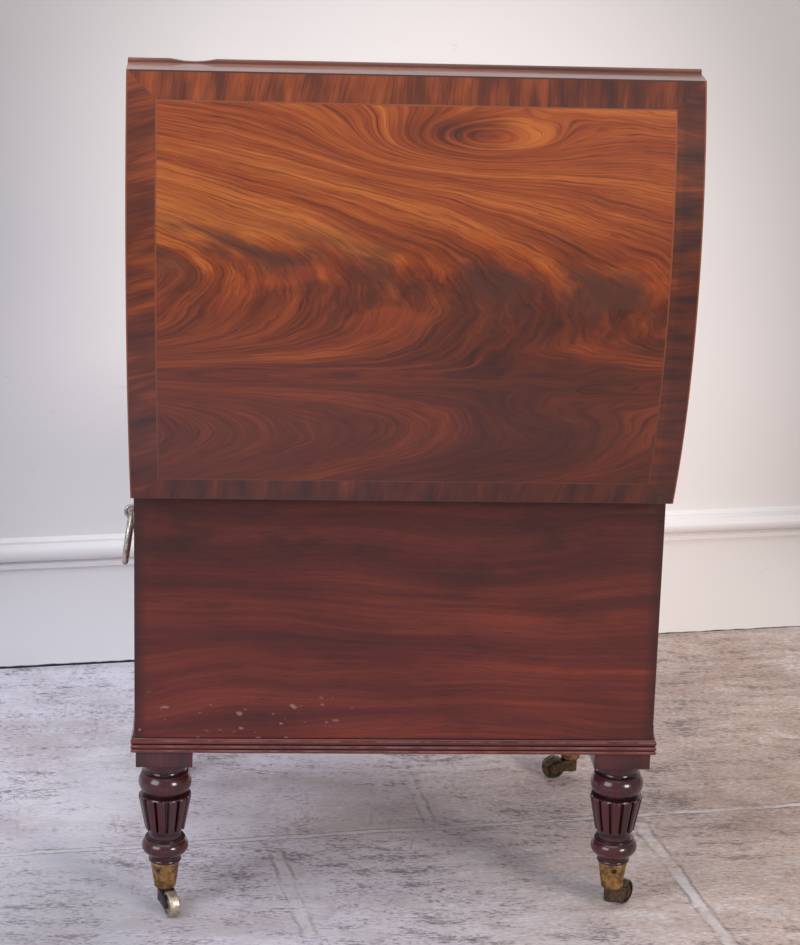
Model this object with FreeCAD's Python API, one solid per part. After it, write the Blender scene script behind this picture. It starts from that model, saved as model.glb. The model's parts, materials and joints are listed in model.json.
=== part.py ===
"""Domed-lid mahogany cellarette on four turned legs, with brass castors and ring handles.

Millimetres. The origin is on the floor under the middle of the carcase, +Z is up, the front faces
-Y, and left and right are as seen from the front. The lid is drawn shut and then turned open on its
hinge axis, because it rests open against the bevels of its back edge.
"""

import FreeCAD, Part
import math
import os

V = FreeCAD.Vector

# Carcase
WIDTH = 560.0
DEPTH = 446.0
BASE_Z = 197.0
RIM_Z = 498.0
WALL = 16.0
BOTTOM_THICK = 14.0
LID_GAP = 0.3

# Reeded base moulding, and the cove above it on the front and sides
REED_HEIGHTS = (4.6, 5.0, 7.4)
REED_BACKING = 2.0
MOULDING_PROUD = 4.2
COVE_HEIGHT = 16.0
COVE_PROUD = 3.0
COVE_LIP = 0.6

# Legs, as radii and heights above the floor
LEG_INSET = 31.5
BLOCK_SIZE = 61.0
BLOCK_Z = 178.6
DOWEL_R = 11.0
DOWEL_LENGTH = 10.0
JOINERY_GAP = 0.1
FILLET = 0.6
SHOULDER_R = 25.5
SHOULDER_FOOT_R = 23.3
SHOULDER_FOOT_Z = 168.0
COLLAR_NECK_R = 21.5
COLLAR_R = 25.6
COLLAR_Z = 163.2
UPPER_NECK_R = 23.6
UPPER_TORUS_R = 29.0
UPPER_TORUS_Z = 150.7
UPPER_TORUS_RISE = 11.4
UPPER_TORUS_FALL = 10.6
BELL_LIP_R = 27.5
BELL_TOP_R = 28.3
BELL_TOP_Z = 137.6
BELL_FOOT_R = 20.8
BELL_FOOT_Z = 97.5
REEDS = 13
REED_DEPTH = 3.4
REED_FILL = 0.94
LOWER_NECK_R = 18.3
LOWER_RING_RADII = (20.9, 22.1)
LOWER_RING_HEIGHT = 1.8
LOWER_TORUS_R = 25.6
LOWER_TORUS_Z = 77.5
LOWER_TORUS_RISE = 6.5
LOWER_TORUS_FALL = 10.5
ANKLE_R = 17.5
ANKLE_RING = 4.2
ANKLE_Z = 58.0

# Cup castors
CUP_TOP_R = 16.0
CUP_BOTTOM_R = 12.0
CUP_BOTTOM_Z = 26.2
CUP_WALL = 1.8
CUP_FLOOR = 3.0
CUP_LIP = 0.4
CUP_LIP_HEIGHT = 2.6
CUP_ROUND = 3.0
CUP_SCREW_Z = 51.1
CUP_SCREW_LENGTH = 9.0
CUP_SCREW_SUNK = 1.2
CUP_SCREW_PROUD = 0.5
SWIVEL_R = 3.5
SWIVEL_HEAD_R = 5.0
SWIVEL_HEAD = 1.4
RUNNING_FIT = 0.05
BOSS_R = 8.3
BOSS_BOTTOM_Z = 10.6
SWIVEL_GAP = 0.4
WHEEL_R = 14.0
WHEEL_WIDTH = 11.0
WHEEL_SIDE_GAP = 0.4
WHEEL_RIM = 2.6
WHEEL_ROUND = 1.2
WHEEL_RECESS = 2.2
HUB_R = 5.0
AXLE_R = 2.0
AXLE_HEAD_R = 3.2
AXLE_HEAD = 0.8
TRAIL = 21.7
CHEEK = 2.4
CHEEK_EYE_R = 4.8
HORN_STEP = 1.0
CUP_TURN = {"front_left": 0.0, "front_right": 0.0, "back_left": 0.0, "back_right": -32.0}
CASTOR_TURN = {"front_left": 0.0, "front_right": 250.0, "back_left": 226.0, "back_right": 111.0}

# Ring handles on the two sides
HANDLE_Z = 401.0
ROSE_R = 27.0
ROSE_RIM = 2.6
ROSE_PLATE = 2.8
ROSE_STEP = 1.4
ROSE_DISH = 5.0
ROSE_COLLAR_R = 6.3
ROSE_COLLAR_STEP = 1.1
EYE_PROUD = 13.7
EYE_R = 6.7
EYE_BAR_R = 2.3
SHANK_R = 2.9
RING_R = 29.3
RING_BAR_R = 3.7
RING_TILT = 7.6
SEAT_GAP = 0.3
NUT_WIDTH = 12.0
NUT_THICK = 4.0

# Lid
LID_OPEN = 96.95
HINGE_INSET = 4.0
LID_OVERHANG = 2.0
LID_RIM = 36.8
LID_RISE = 49.3
LID_BOARD = 18.0
DOME_THICK = 12.0
STAVES = 7
VENEER = 1.2
CROSSBAND = 30.0
STRINGING = 1.6
ARRIS_LINE = 1.4
BEAD_HEIGHT = 5.0
BEAD_PROUD = 4.0
CHIP_FROM_END = 64.0
CHIP_LENGTH = 46.0
CHIP_DEPTH = 3.0

# Butt hinges
HINGE_FROM_END = 110.0
HINGE_LENGTH = 64.0
KNUCKLE_R = 3.6
KNUCKLES = 5
KNUCKLE_GAP = 0.3
PIN_R = 1.5
LEAF_THICK = 1.8
LEAF_WIDTH = 11.0
SCREW_R = 1.5
SCREW_HEAD_R = 2.9
SCREW_LENGTH = 13.0
HINGE_SCREWS = 3

# Box lock, key and link plate
LOCK_WIDTH = 66.0
LOCK_HEIGHT = 44.0
LOCK_DEPTH = 12.0
LOCK_WALL = 1.5
KEY_DROP = 32.0
KEY_R = 2.8
KEY_BIT = 6.5
KEY_BIT_THICK = 2.4
KEY_BIT_GAP = 0.6
KEYHOLE_GAP = 0.3
KEY_BOW_R = 8.6
KEY_BOW_BAR_R = 2.4
KEY_COLLAR_R = 4.4
KEY_COLLAR = 2.0
KEY_STANDS_OFF = 2.0
BOLT_THICK = 2.6
BOLT_HEIGHT = 8.0
BOLT_THROW = 7.0
BOLT_POST = 3.0
BOLT_RIGHT = 20.0
TALON_BELOW_KEY = 1.0
GUIDE_HEIGHT = 2.0
GUIDE_OPENING = (0.0, 16.0)
LINK_X = 16.0
LINK_WIDTH = 6.0
LINK_THICK = 3.0
LINK_DROP = 13.5
BOLT_BELOW_LINK = 1.0
LINK_EYE = (3.4, 5.4)
LINK_EYE_RISE = 4.8
LINK_CLEARANCE = 1.2
LINK_PLATE = 2.0
LINK_PLATE_LENGTH = 48.0
LINK_PLATE_WIDTH = 9.2
ESCUTCHEON_R = 13.0
ESCUTCHEON_THICK = 1.0

# Inside
LINER = 1.2
LINER_GAP = 0.2
LINER_BELOW_RIM = 10.0
DIVIDER = 8.0
DIVIDER_HEIGHT = 200.0
COLUMN_COUNT = 4
ROW_COUNT = 3

# Worked out from the sizes above
HX = WIDTH / 2
HY = DEPTH / 2
MOULDING_TOP = BASE_Z + sum(REED_HEIGHTS)
HINGE_Y = HY - HINGE_INSET
HINGE_X = HX - HINGE_FROM_END
LID_HX = HX + LID_OVERHANG
CHIP_X = LID_HX - CHIP_FROM_END
LID_FRONT = -(HY + LID_OVERHANG)
LID_BACK = HY
LID_DEPTH = LID_BACK - LID_FRONT
LID_MID = (LID_BACK + LID_FRONT) / 2
DOME_R = (LID_DEPTH ** 2 / 4 + LID_RISE ** 2) / (2 * LID_RISE)
DOME_Z = RIM_Z + LID_RIM + LID_RISE - DOME_R
CARCASE_TOP = RIM_Z - LID_GAP / 2
KEY_Z = CARCASE_TOP - KEY_DROP
LID_BOTTOM = RIM_Z + LID_GAP / 2
LEG_X = HX - LEG_INSET
LEG_Y = HY - LEG_INSET
PANEL_INNER_Y = HY - WALL
FLOOR_Z = BASE_Z + BOTTOM_THICK
LOCK_BACK = -PANEL_INNER_Y
LOCK_MID = LOCK_BACK - LOCK_DEPTH / 2
LOCK_ROOM_FRONT = LOCK_BACK - LOCK_DEPTH + LOCK_WALL
BOLT_TOP = RIM_Z - LINK_DROP - BOLT_BELOW_LINK
LINK_EYE_Z = RIM_Z - LINK_DROP + LINK_EYE_RISE
FAR = 2000.0
CUT_PAST = 1.0


def box(x0, x1, y0, y1, z0, z1):
    """A box between two corners."""
    return Part.makeBox(x1 - x0, y1 - y0, z1 - z0, V(x0, y0, z0))


def rod(radius, start, end):
    """A cylinder from one point to another."""
    run = end - start
    return Part.makeCylinder(radius, run.Length, start, run)


def prism(points, direction):
    """A closed outline pushed along a direction."""
    return Part.Face(Part.makePolygon(points + points[:1])).extrude(direction)


def plan_prism(points, z0=-FAR, z1=FAR):
    """An outline in plan, pushed from one height to another."""
    return prism([V(x, y, z0) for x, y in points], V(0, 0, z1 - z0))


def turned(outline, centre=V(0, 0, 0), axis=V(0, 0, 1)):
    """A solid of revolution from an outline of edges drawn in the XZ plane about Z."""
    solid = Part.Face(Part.Wire(outline)).revolve(V(0, 0, 0), V(0, 0, 1), 360)
    solid = Part.Solid(solid) if solid.ShapeType == "Shell" else solid
    solid.Placement = FreeCAD.Placement(centre, FreeCAD.Rotation(V(0, 0, 1), axis))
    return solid


def path(*steps):
    """Edges through (r, z) points; a step of two points is an arc through the first of them."""
    edges, last = [], steps[0]
    for step in steps[1:]:
        if isinstance(step[0], tuple):
            middle, end = step
            edges.append(Part.Arc(V(last[0], 0, last[1]), V(middle[0], 0, middle[1]),
                                  V(end[0], 0, end[1])).toShape())
        else:
            end = step
            edges.append(Part.makeLine(V(last[0], 0, last[1]), V(end[0], 0, end[1])))
        last = end
    return edges


def group(solids):
    """Several separate solids kept in one node."""
    return Part.makeCompound(solids)


def save(name, shape):
    """Write one node."""
    shape.exportStep("parts/" + name + ".step")


def mirrored(shape):
    """The same piece on the other side of the middle."""
    return shape.mirror(V(0, 0, 0), V(1, 0, 0))


def shut_to_open(shape):
    """Turn a piece of the shut lid to where it rests when the lid is open."""
    copy = shape.copy()
    copy.rotate(V(0, HINGE_Y, RIM_Z), V(1, 0, 0), -LID_OPEN)
    return copy


# Strips that run round the carcase or the lid

def strip(profile, half_run, stand_off, turn, mitre_start=True, mitre_end=True, centre_y=0.0):
    """A moulding along one side: profile edges in (out, up), mitred or square at each end."""
    reach = 2 * MOULDING_PROUD
    face = Part.Face(Part.Wire(profile))
    face.rotate(V(0, 0, 0), V(0, 0, 1), 90)
    face.translate(V(-half_run - reach, 0, 0))
    bar = face.extrude(V(2 * (half_run + reach), 0, 0))
    start = reach if mitre_start else 0.0
    end = reach if mitre_end else 0.0
    outline = [(-half_run, 0), (half_run, 0), (half_run + end, reach), (-half_run - start, reach)]
    bar = bar.common(plan_prism(outline))
    bar.translate(V(0, stand_off, 0))
    bar.rotate(V(0, 0, 0), V(0, 0, 1), turn)
    bar.translate(V(0, centre_y, 0))
    return bar.Solids[0]


def moulding_profile():
    """Three reeds on a flat backing."""
    steps = [(0.0, BASE_Z), (REED_BACKING, BASE_Z)]
    z = BASE_Z
    for height in REED_HEIGHTS:
        steps.append(((MOULDING_PROUD, z + height / 2), (REED_BACKING, z + height)))
        z += height
    return path(*steps, (0.0, z), (0.0, BASE_Z))


def cove_profile():
    """A hollow that sweeps from the face of the carcase out to the moulding."""
    top = MOULDING_TOP + COVE_HEIGHT
    bend = (COVE_LIP + (COVE_PROUD - COVE_LIP) * 0.3, MOULDING_TOP + COVE_HEIGHT * 0.35)
    return path((0.0, MOULDING_TOP), (COVE_PROUD, MOULDING_TOP), (bend, (COVE_LIP, top)),
                (0.0, top), (0.0, MOULDING_TOP))


def bead_profile():
    """A half-round bead at the bottom of the lid's rim."""
    top = LID_BOTTOM + BEAD_HEIGHT
    middle = LID_BOTTOM + BEAD_HEIGHT / 2
    flat = BEAD_PROUD - BEAD_HEIGHT / 2
    return path((0.0, LID_BOTTOM), (flat, LID_BOTTOM), ((BEAD_PROUD, middle), (flat, top)),
                (0.0, top), (0.0, LID_BOTTOM))


def base_mouldings():
    save("base_moulding_back", strip(moulding_profile(), HX, HY, 0))
    save("base_moulding_front", strip(moulding_profile(), HX, HY, 180))
    save("base_moulding_right", strip(moulding_profile(), HY, HX, -90))
    save("base_moulding_left", strip(moulding_profile(), HY, HX, 90))


def coves():
    save("base_cove", group([
        strip(cove_profile(), HX, HY, 180),
        strip(cove_profile(), HY, HX, -90, mitre_start=False),
        strip(cove_profile(), HY, HX, 90, mitre_end=False),
    ]))


# Carcase

def back_bevel(side):
    """The corner bevelled off a meeting edge, so that the open lid stops on it: -1 carcase, +1 lid."""
    over = HINGE_INSET + CUT_PAST
    z = RIM_Z + side * LID_GAP / 2
    slant = z + side * over * math.tan(math.radians(LID_OPEN / 2))
    y = HINGE_Y + over
    return prism([V(-FAR, HINGE_Y, z), V(-FAR, y, slant), V(-FAR, y, z - side), V(-FAR, HINGE_Y, z - side)],
                 V(2 * FAR, 0, 0))


def hinge_places():
    return [-HINGE_X, HINGE_X]


def knuckle_pocket(x):
    """Room for the hinge barrel in the meeting edges."""
    half = HINGE_LENGTH / 2 + KNUCKLE_GAP
    radius = KNUCKLE_R + KNUCKLE_GAP
    return rod(radius, V(x - half, HINGE_Y, RIM_Z), V(x + half, HINGE_Y, RIM_Z))


def leaf_recess(x, side):
    """The housing of a leaf: side -1 is in the carcase, +1 in the lid."""
    half = HINGE_LENGTH / 2
    face = RIM_Z + side * LID_GAP / 2
    z0, z1 = sorted((face, face + side * LEAF_THICK))
    return box(x - half, x + half, HINGE_Y - LEAF_WIDTH, HINGE_Y, z0, z1)


def screw_places():
    """Where the screws of a leaf stand along the hinge."""
    pitch = HINGE_LENGTH / HINGE_SCREWS
    return [(i - (HINGE_SCREWS - 1) / 2) * pitch for i in range(HINGE_SCREWS)]


def leaf_screw(x, side, gap=0.0):
    """A countersunk screw through a leaf, or its hole when a gap is given."""
    face = RIM_Z + side * LID_GAP / 2
    y = HINGE_Y - LEAF_WIDTH / 2 - KNUCKLE_R / 2
    head = Part.makeCone(SCREW_HEAD_R + gap, SCREW_R + gap, LEAF_THICK, V(x, y, face), V(0, 0, side))
    shank = rod(SCREW_R + gap, V(x, y, face), V(x, y, face + side * (SCREW_LENGTH + gap)))
    return head.fuse(shank).removeSplitter().Solids[0]


def hinge_cuts(side):
    """All that the two hinges take out of a meeting edge."""
    cuts = []
    for x in hinge_places():
        cuts.append(knuckle_pocket(x))
        cuts.append(leaf_recess(x, side))
        cuts += [leaf_screw(x + dx, side, RUNNING_FIT) for dx in screw_places()]
    return cuts


def lock_recess():
    """The housing cut for the lock in the inner face of the front panel."""
    return box(-LOCK_WIDTH / 2, LOCK_WIDTH / 2, LOCK_BACK - LOCK_DEPTH, LOCK_BACK,
               CARCASE_TOP - LOCK_HEIGHT, CARCASE_TOP)


def front_panel():
    panel = box(-HX, HX, -HY, -PANEL_INNER_Y, BASE_Z, CARCASE_TOP)
    return panel.cut([lock_recess(), keyhole(KEYHOLE_GAP, LOCK_BACK)])


def side_board(side):
    """One side, with the housings of the handle's shank and nut."""
    inner = HX - WALL
    board = box(inner, HX, -PANEL_INNER_Y, PANEL_INNER_Y, BASE_Z, CARCASE_TOP)
    shank = rod(SHANK_R + JOINERY_GAP, V(inner, 0, HANDLE_Z), V(HX, 0, HANDLE_Z))
    half = NUT_WIDTH / 2 + JOINERY_GAP
    nut = box(inner, inner + NUT_THICK, -half, half, HANDLE_Z - half, HANDLE_Z + half)
    board = board.cut([shank, nut])
    return board if side > 0 else mirrored(board)


def bottom_board():
    board = box(-HX + WALL, HX - WALL, -PANEL_INNER_Y, PANEL_INNER_Y, BASE_Z, FLOOR_Z)
    radius = DOWEL_R + JOINERY_GAP
    holes = [rod(radius, V(x, y, BASE_Z), V(x, y, BASE_Z + DOWEL_LENGTH + JOINERY_GAP))
             for x, y in leg_places().values()]
    return board.cut(holes)


def carcase():
    panel = box(-HX, HX, PANEL_INNER_Y, HY, BASE_Z, CARCASE_TOP)
    save("back_panel", panel.cut([back_bevel(-1)] + hinge_cuts(-1)))
    save("front_panel", front_panel())
    save("side_left", side_board(-1))
    save("side_right", side_board(1))
    save("bottom_board", bottom_board())


# Legs

def leg_places():
    return {"front_left": (-LEG_X, -LEG_Y), "front_right": (LEG_X, -LEG_Y),
            "back_left": (-LEG_X, LEG_Y), "back_right": (LEG_X, LEG_Y)}


def reed(turn):
    """One round-backed reed of the bell, thick at the top and slender at the foot."""
    half_pitch = math.sin(math.pi / REEDS)
    share = REED_FILL * half_pitch / (1 + half_pitch)
    top_r = BELL_TOP_R * share
    foot_r = BELL_FOOT_R * share
    top = V(BELL_TOP_R - top_r, 0, BELL_TOP_Z - top_r / 2)
    foot = V(BELL_FOOT_R - foot_r, 0, BELL_FOOT_Z)
    run = top - foot
    rod_shape = Part.makeCone(foot_r, top_r, run.Length, foot, run)
    rod_shape = rod_shape.fuse(Part.makeSphere(top_r, top))
    rod_shape.rotate(V(0, 0, 0), V(0, 0, 1), turn)
    return rod_shape


def leg_outline():
    """The turned part of a leg, from the block down into the cup."""
    torus_top = UPPER_TORUS_Z + UPPER_TORUS_RISE
    core_top = BELL_TOP_R - REED_DEPTH
    core_foot = BELL_FOOT_R - REED_DEPTH
    lower_top = LOWER_TORUS_Z + LOWER_TORUS_RISE
    lower_bottom = LOWER_TORUS_Z - LOWER_TORUS_FALL
    ring_z = lower_top + LOWER_RING_HEIGHT
    hollow_z = ring_z + LOWER_RING_HEIGHT
    small_ring, large_ring = LOWER_RING_RADII
    spigot_top = CUP_TOP_R - CUP_WALL - JOINERY_GAP
    spigot_foot = CUP_BOTTOM_R - CUP_WALL - JOINERY_GAP
    foot_z = CUP_BOTTOM_Z + CUP_FLOOR + JOINERY_GAP
    return path(
        (0.0, BLOCK_Z + FILLET), (SHOULDER_R, BLOCK_Z + FILLET), (SHOULDER_R, BLOCK_Z),
        ((SHOULDER_R - FILLET, (BLOCK_Z + SHOULDER_FOOT_Z) / 2), (SHOULDER_FOOT_R, SHOULDER_FOOT_Z)),
        (COLLAR_NECK_R, SHOULDER_FOOT_Z - FILLET),
        (((COLLAR_NECK_R + COLLAR_R) / 2 - FILLET, COLLAR_Z + 2 * FILLET), (COLLAR_R, COLLAR_Z)),
        (COLLAR_R - FILLET, COLLAR_Z - FILLET), (COLLAR_R - FILLET, torus_top),
        ((UPPER_TORUS_R, UPPER_TORUS_Z), (UPPER_NECK_R, UPPER_TORUS_Z - UPPER_TORUS_FALL)),
        (UPPER_NECK_R - FILLET, BELL_TOP_Z + 2 * FILLET), (BELL_LIP_R - FILLET, BELL_TOP_Z),
        (BELL_LIP_R, BELL_TOP_Z - 2 * FILLET), (core_top, BELL_TOP_Z - 4 * FILLET), (core_foot, BELL_FOOT_Z),
        (LOWER_NECK_R, BELL_FOOT_Z - FILLET),
        ((LOWER_NECK_R - FILLET, (BELL_FOOT_Z + hollow_z) / 2), (LOWER_NECK_R, hollow_z)),
        (small_ring, hollow_z), (small_ring, ring_z), (large_ring, ring_z), (large_ring, lower_top),
        ((LOWER_TORUS_R, LOWER_TORUS_Z), (ANKLE_R + FILLET, lower_bottom)),
        (ANKLE_R - FILLET, lower_bottom - FILLET), (ANKLE_R - FILLET, ANKLE_Z + ANKLE_RING),
        ((ANKLE_R + FILLET, ANKLE_Z + ANKLE_RING / 2), (ANKLE_R - FILLET, ANKLE_Z)),
        (spigot_top, ANKLE_Z), (spigot_foot, foot_z), (0.0, foot_z), (0.0, BLOCK_Z + FILLET))


def leg():
    """A leg standing on the origin: block, dowel, turning and reeds."""
    half = BLOCK_SIZE / 2
    block = box(-half, half, -half, half, BLOCK_Z, BASE_Z)
    dowel = rod(DOWEL_R, V(0, 0, BASE_Z), V(0, 0, BASE_Z + DOWEL_LENGTH))
    reeds = [reed(i * 360 / REEDS) for i in range(REEDS)]
    return turned(leg_outline()).fuse([block, dowel] + reeds).removeSplitter()


def legs():
    """The four legs, each drilled for the screws of its cup."""
    one = leg()
    for name, (x, y) in leg_places().items():
        drilled = one.cut(cup_screws(CUP_TURN[name], RUNNING_FIT)).Solids[0]
        save("leg_" + name, drilled.translated(V(x, y, 0)))


# Castors

def castor_cup():
    """A tapered cup with a rounded foot and the pin that the horn swivels on."""
    top = ANKLE_Z - JOINERY_GAP
    inner_z = CUP_BOTTOM_Z + CUP_FLOOR
    pin_z = BOSS_BOTTOM_Z + JOINERY_GAP
    bend = CUP_ROUND * 0.3
    outline = path(
        (CUP_TOP_R - CUP_WALL, top), (CUP_TOP_R, top), (CUP_TOP_R + CUP_LIP, top - CUP_LIP_HEIGHT / 2),
        (CUP_TOP_R - CUP_LIP, top - CUP_LIP_HEIGHT), (CUP_BOTTOM_R, CUP_BOTTOM_Z + CUP_ROUND),
        ((CUP_BOTTOM_R - bend, CUP_BOTTOM_Z + bend), (CUP_BOTTOM_R - CUP_ROUND, CUP_BOTTOM_Z)),
        (SWIVEL_R, CUP_BOTTOM_Z), (SWIVEL_R, pin_z + SWIVEL_HEAD), (SWIVEL_HEAD_R, pin_z + SWIVEL_HEAD),
        (SWIVEL_HEAD_R, pin_z), (0.0, pin_z), (0.0, inner_z),
        (CUP_BOTTOM_R - CUP_WALL, inner_z), (CUP_TOP_R - CUP_WALL, top))
    return turned(outline)


def cup_screws(turn, gap=0.0):
    """Two small screws that pin a turned cup to its leg, or their holes when a gap is given."""
    up = (CUP_SCREW_Z - CUP_BOTTOM_Z) / (ANKLE_Z - CUP_BOTTOM_Z)
    surface = CUP_BOTTOM_R + (CUP_TOP_R - CUP_BOTTOM_R) * up
    screws = []
    for side in (-1, 1):
        tip, seat, face = (V(0, side * y, CUP_SCREW_Z) for y in (
            surface - CUP_SCREW_LENGTH - gap, surface - CUP_SCREW_SUNK, surface + CUP_SCREW_PROUD))
        screw = rod(SCREW_R + gap, tip, face).fuse(rod(SCREW_HEAD_R + gap, seat, face))
        screw = screw.removeSplitter().Solids[0]
        screw.rotate(V(0, 0, 0), V(0, 0, 1), turn)
        screws.append(screw)
    return screws


def horn():
    """The castor's horn, trailing along +X: boss, two cheeks and the riveted axle."""
    top = CUP_BOTTOM_Z - SWIVEL_GAP
    side = WHEEL_WIDTH / 2 + WHEEL_SIDE_GAP
    boss = rod(BOSS_R, V(0, 0, BOSS_BOTTOM_Z), V(0, 0, top))
    cheeks = []
    for y in (side, -side - CHEEK):
        eye = rod(CHEEK_EYE_R, V(TRAIL, y, WHEEL_R), V(TRAIL, y + CHEEK, WHEEL_R))
        arm = prism([V(0, y, BOSS_BOTTOM_Z + HORN_STEP), V(TRAIL, y, WHEEL_R - CHEEK_EYE_R),
                     V(TRAIL + CHEEK_EYE_R / 2, y, WHEEL_R + CHEEK_EYE_R * 0.85),
                     V(BOSS_R * 0.9, y, top - HORN_STEP), V(0, y, top)], V(0, CHEEK, 0))
        cheeks += [arm, eye]
    pocket = rod(WHEEL_R + 2 * WHEEL_SIDE_GAP, V(TRAIL, -side, WHEEL_R), V(TRAIL, side, WHEEL_R))
    bore = rod(SWIVEL_R + RUNNING_FIT, V(0, 0, BOSS_BOTTOM_Z - CUT_PAST), V(0, 0, top + CUT_PAST))
    head_room = rod(SWIVEL_HEAD_R + SEAT_GAP, V(0, 0, BOSS_BOTTOM_Z - CUT_PAST),
                    V(0, 0, BOSS_BOTTOM_Z + SWIVEL_HEAD + SEAT_GAP))
    body = boss.fuse(cheeks).cut([pocket, bore, head_room])
    end = side + CHEEK + AXLE_HEAD
    axle = rod(AXLE_R, V(TRAIL, -end, WHEEL_R), V(TRAIL, end, WHEEL_R))
    heads = [rod(AXLE_HEAD_R, V(TRAIL, y, WHEEL_R), V(TRAIL, y + AXLE_HEAD, WHEEL_R))
             for y in (side + CHEEK, -end)]
    return body.fuse([axle] + heads).removeSplitter().Solids[0]


def wheel():
    """A brass wheel with a raised rim and hub and a rounded tread, on an axle along Y."""
    half = WHEEL_WIDTH / 2
    floor = half - WHEEL_RECESS
    bore = AXLE_R + RUNNING_FIT
    rim = WHEEL_R - WHEEL_RIM
    outline = path((bore, -half), (HUB_R, -half), (HUB_R, -floor), (rim, -floor), (rim, -half),
                   (WHEEL_R - WHEEL_ROUND, -half), (WHEEL_R, WHEEL_ROUND - half),
                   (WHEEL_R, half - WHEEL_ROUND), (WHEEL_R - WHEEL_ROUND, half),
                   (rim, half), (rim, floor), (HUB_R, floor), (HUB_R, half), (bore, half), (bore, -half))
    return turned(outline, V(TRAIL, 0, WHEEL_R), V(0, 1, 0))


def castors():
    cup, one_horn, one_wheel = castor_cup(), horn(), wheel()
    screws = []
    for name, (x, y) in leg_places().items():
        place = V(x, y, 0)
        turn = CUP_TURN[name]
        save("castor_cup_" + name, cup.cut(cup_screws(turn, RUNNING_FIT)).translated(place))
        screws += [screw.translated(place) for screw in cup_screws(turn)]
        for node, shape in (("castor_horn_", one_horn), ("castor_wheel_", one_wheel)):
            piece = shape.copy()
            piece.rotate(V(0, 0, 0), V(0, 0, 1), CASTOR_TURN[name])
            save(node + name, piece.translated(place))
    save("castor_cup_screws", group(screws))


# Ring handles, drawn on the right side

def rose_rim_proud():
    """How far the rose's rolled rim stands out, so that the tilted ring rests on it."""
    reach = ROSE_R - ROSE_RIM
    drop = 2 * RING_R * (reach / (2 * RING_R)) ** 2
    tilt = math.radians(RING_TILT)
    return EYE_PROUD + drop * math.sin(tilt) - RING_BAR_R / math.cos(tilt) - SEAT_GAP


def rose():
    """A dished round plate with a rolled rim and a raised collar round the shank."""
    proud = rose_rim_proud()
    rim_in = ROSE_R - 2 * ROSE_RIM
    shank = SHANK_R + JOINERY_GAP
    step_in = ROSE_R - ROSE_STEP / 2
    outer_collar = ROSE_COLLAR_R + 2 * ROSE_COLLAR_STEP
    low = ROSE_PLATE + ROSE_COLLAR_STEP
    high = low + ROSE_COLLAR_STEP
    outline = path(
        (shank, 0.0), (step_in, 0.0), (ROSE_R, ROSE_STEP), (step_in, 2 * ROSE_STEP),
        (ROSE_R, 3 * ROSE_STEP), (ROSE_R, proud - ROSE_RIM),
        ((ROSE_R - ROSE_RIM, proud), (rim_in, proud - ROSE_RIM)),
        ((rim_in - ROSE_DISH * 0.3, proud * 0.42), (rim_in - ROSE_DISH, ROSE_PLATE)),
        (outer_collar, ROSE_PLATE), (outer_collar - ROSE_COLLAR_STEP, low),
        (ROSE_COLLAR_R, low), (ROSE_COLLAR_R, high), (shank, high), (shank, 0.0))
    return turned(outline, V(HX, 0, HANDLE_Z), V(1, 0, 0))


def eye_bolt():
    """The eye that carries the ring, with its shank through the side."""
    centre = V(HX + EYE_PROUD, 0, HANDLE_Z)
    eye = Part.makeTorus(EYE_R, EYE_BAR_R, centre, V(0, 1, 0))
    shank = rod(SHANK_R, V(HX - WALL, 0, HANDLE_Z), centre - V(EYE_R, 0, 0))
    return shank.fuse(eye).removeSplitter().Solids[0]


def ring():
    """The ring, hanging in the eye with its foot tilted out against the rose."""
    drop = EYE_R - EYE_BAR_R - RING_BAR_R - SEAT_GAP
    top = V(HX + EYE_PROUD, 0, HANDLE_Z - drop)
    shape = Part.makeTorus(RING_R, RING_BAR_R, top - V(0, 0, RING_R), V(1, 0, 0))
    shape.rotate(top, V(0, 1, 0), -RING_TILT)
    return shape


def shank_nut():
    """The square nut let into the inner face of the side."""
    inner = HX - WALL
    half = NUT_WIDTH / 2
    nut = box(inner, inner + NUT_THICK, -half, half, HANDLE_Z - half, HANDLE_Z + half)
    return nut.cut(rod(SHANK_R + RUNNING_FIT, V(inner - CUT_PAST, 0, HANDLE_Z), V(HX, 0, HANDLE_Z)))


def handles():
    for node, shape in (("handle_rose_", rose()), ("handle_eye_", eye_bolt()), ("handle_ring_", ring())):
        save(node + "right", shape)
        save(node + "left", mirrored(shape))
    save("handle_nuts", group([shank_nut(), mirrored(shank_nut())]))


# Lid, drawn shut

def core_cylinder(radius):
    """The round of the lid's top at one radius, all along the lid."""
    return rod(radius, V(-FAR, LID_MID, DOME_Z), V(FAR, LID_MID, DOME_Z))


def lid_board(x0, x1, y0, y1):
    """A board of the lid, standing on the rim and trimmed to the round under the veneer."""
    board = box(x0, x1, y0, y1, LID_BOTTOM, RIM_Z + LID_RIM + LID_RISE)
    return board.common(core_cylinder(DOME_R - VENEER)).Solids[0]


def staves():
    """The coopered top: boards side by side between the rails and the ends."""
    shell = core_cylinder(DOME_R - VENEER).cut(core_cylinder(DOME_R - VENEER - DOME_THICK))
    x = LID_HX - LID_BOARD
    y0, y1 = LID_FRONT + LID_BOARD, LID_BACK - LID_BOARD
    width = (y1 - y0) / STAVES
    boards = []
    for i in range(STAVES):
        slot = box(-x, x, y0 + i * width, y0 + (i + 1) * width, RIM_Z, FAR)
        boards += shell.common(slot).Solids
    return group(boards)


def veneer_sheet():
    """The whole sheet that the veneers of the top are cut from."""
    sheet = core_cylinder(DOME_R).cut(core_cylinder(DOME_R - VENEER))
    return sheet.common(box(-LID_HX, LID_HX, LID_FRONT, LID_BACK, RIM_Z, FAR))


def inset_in_depth(width):
    """How far in plan a width measured over the round reaches from the front or back edge."""
    edge = math.asin(LID_DEPTH / 2 / DOME_R)
    return LID_DEPTH / 2 - DOME_R * math.sin(edge - width / DOME_R)


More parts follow.
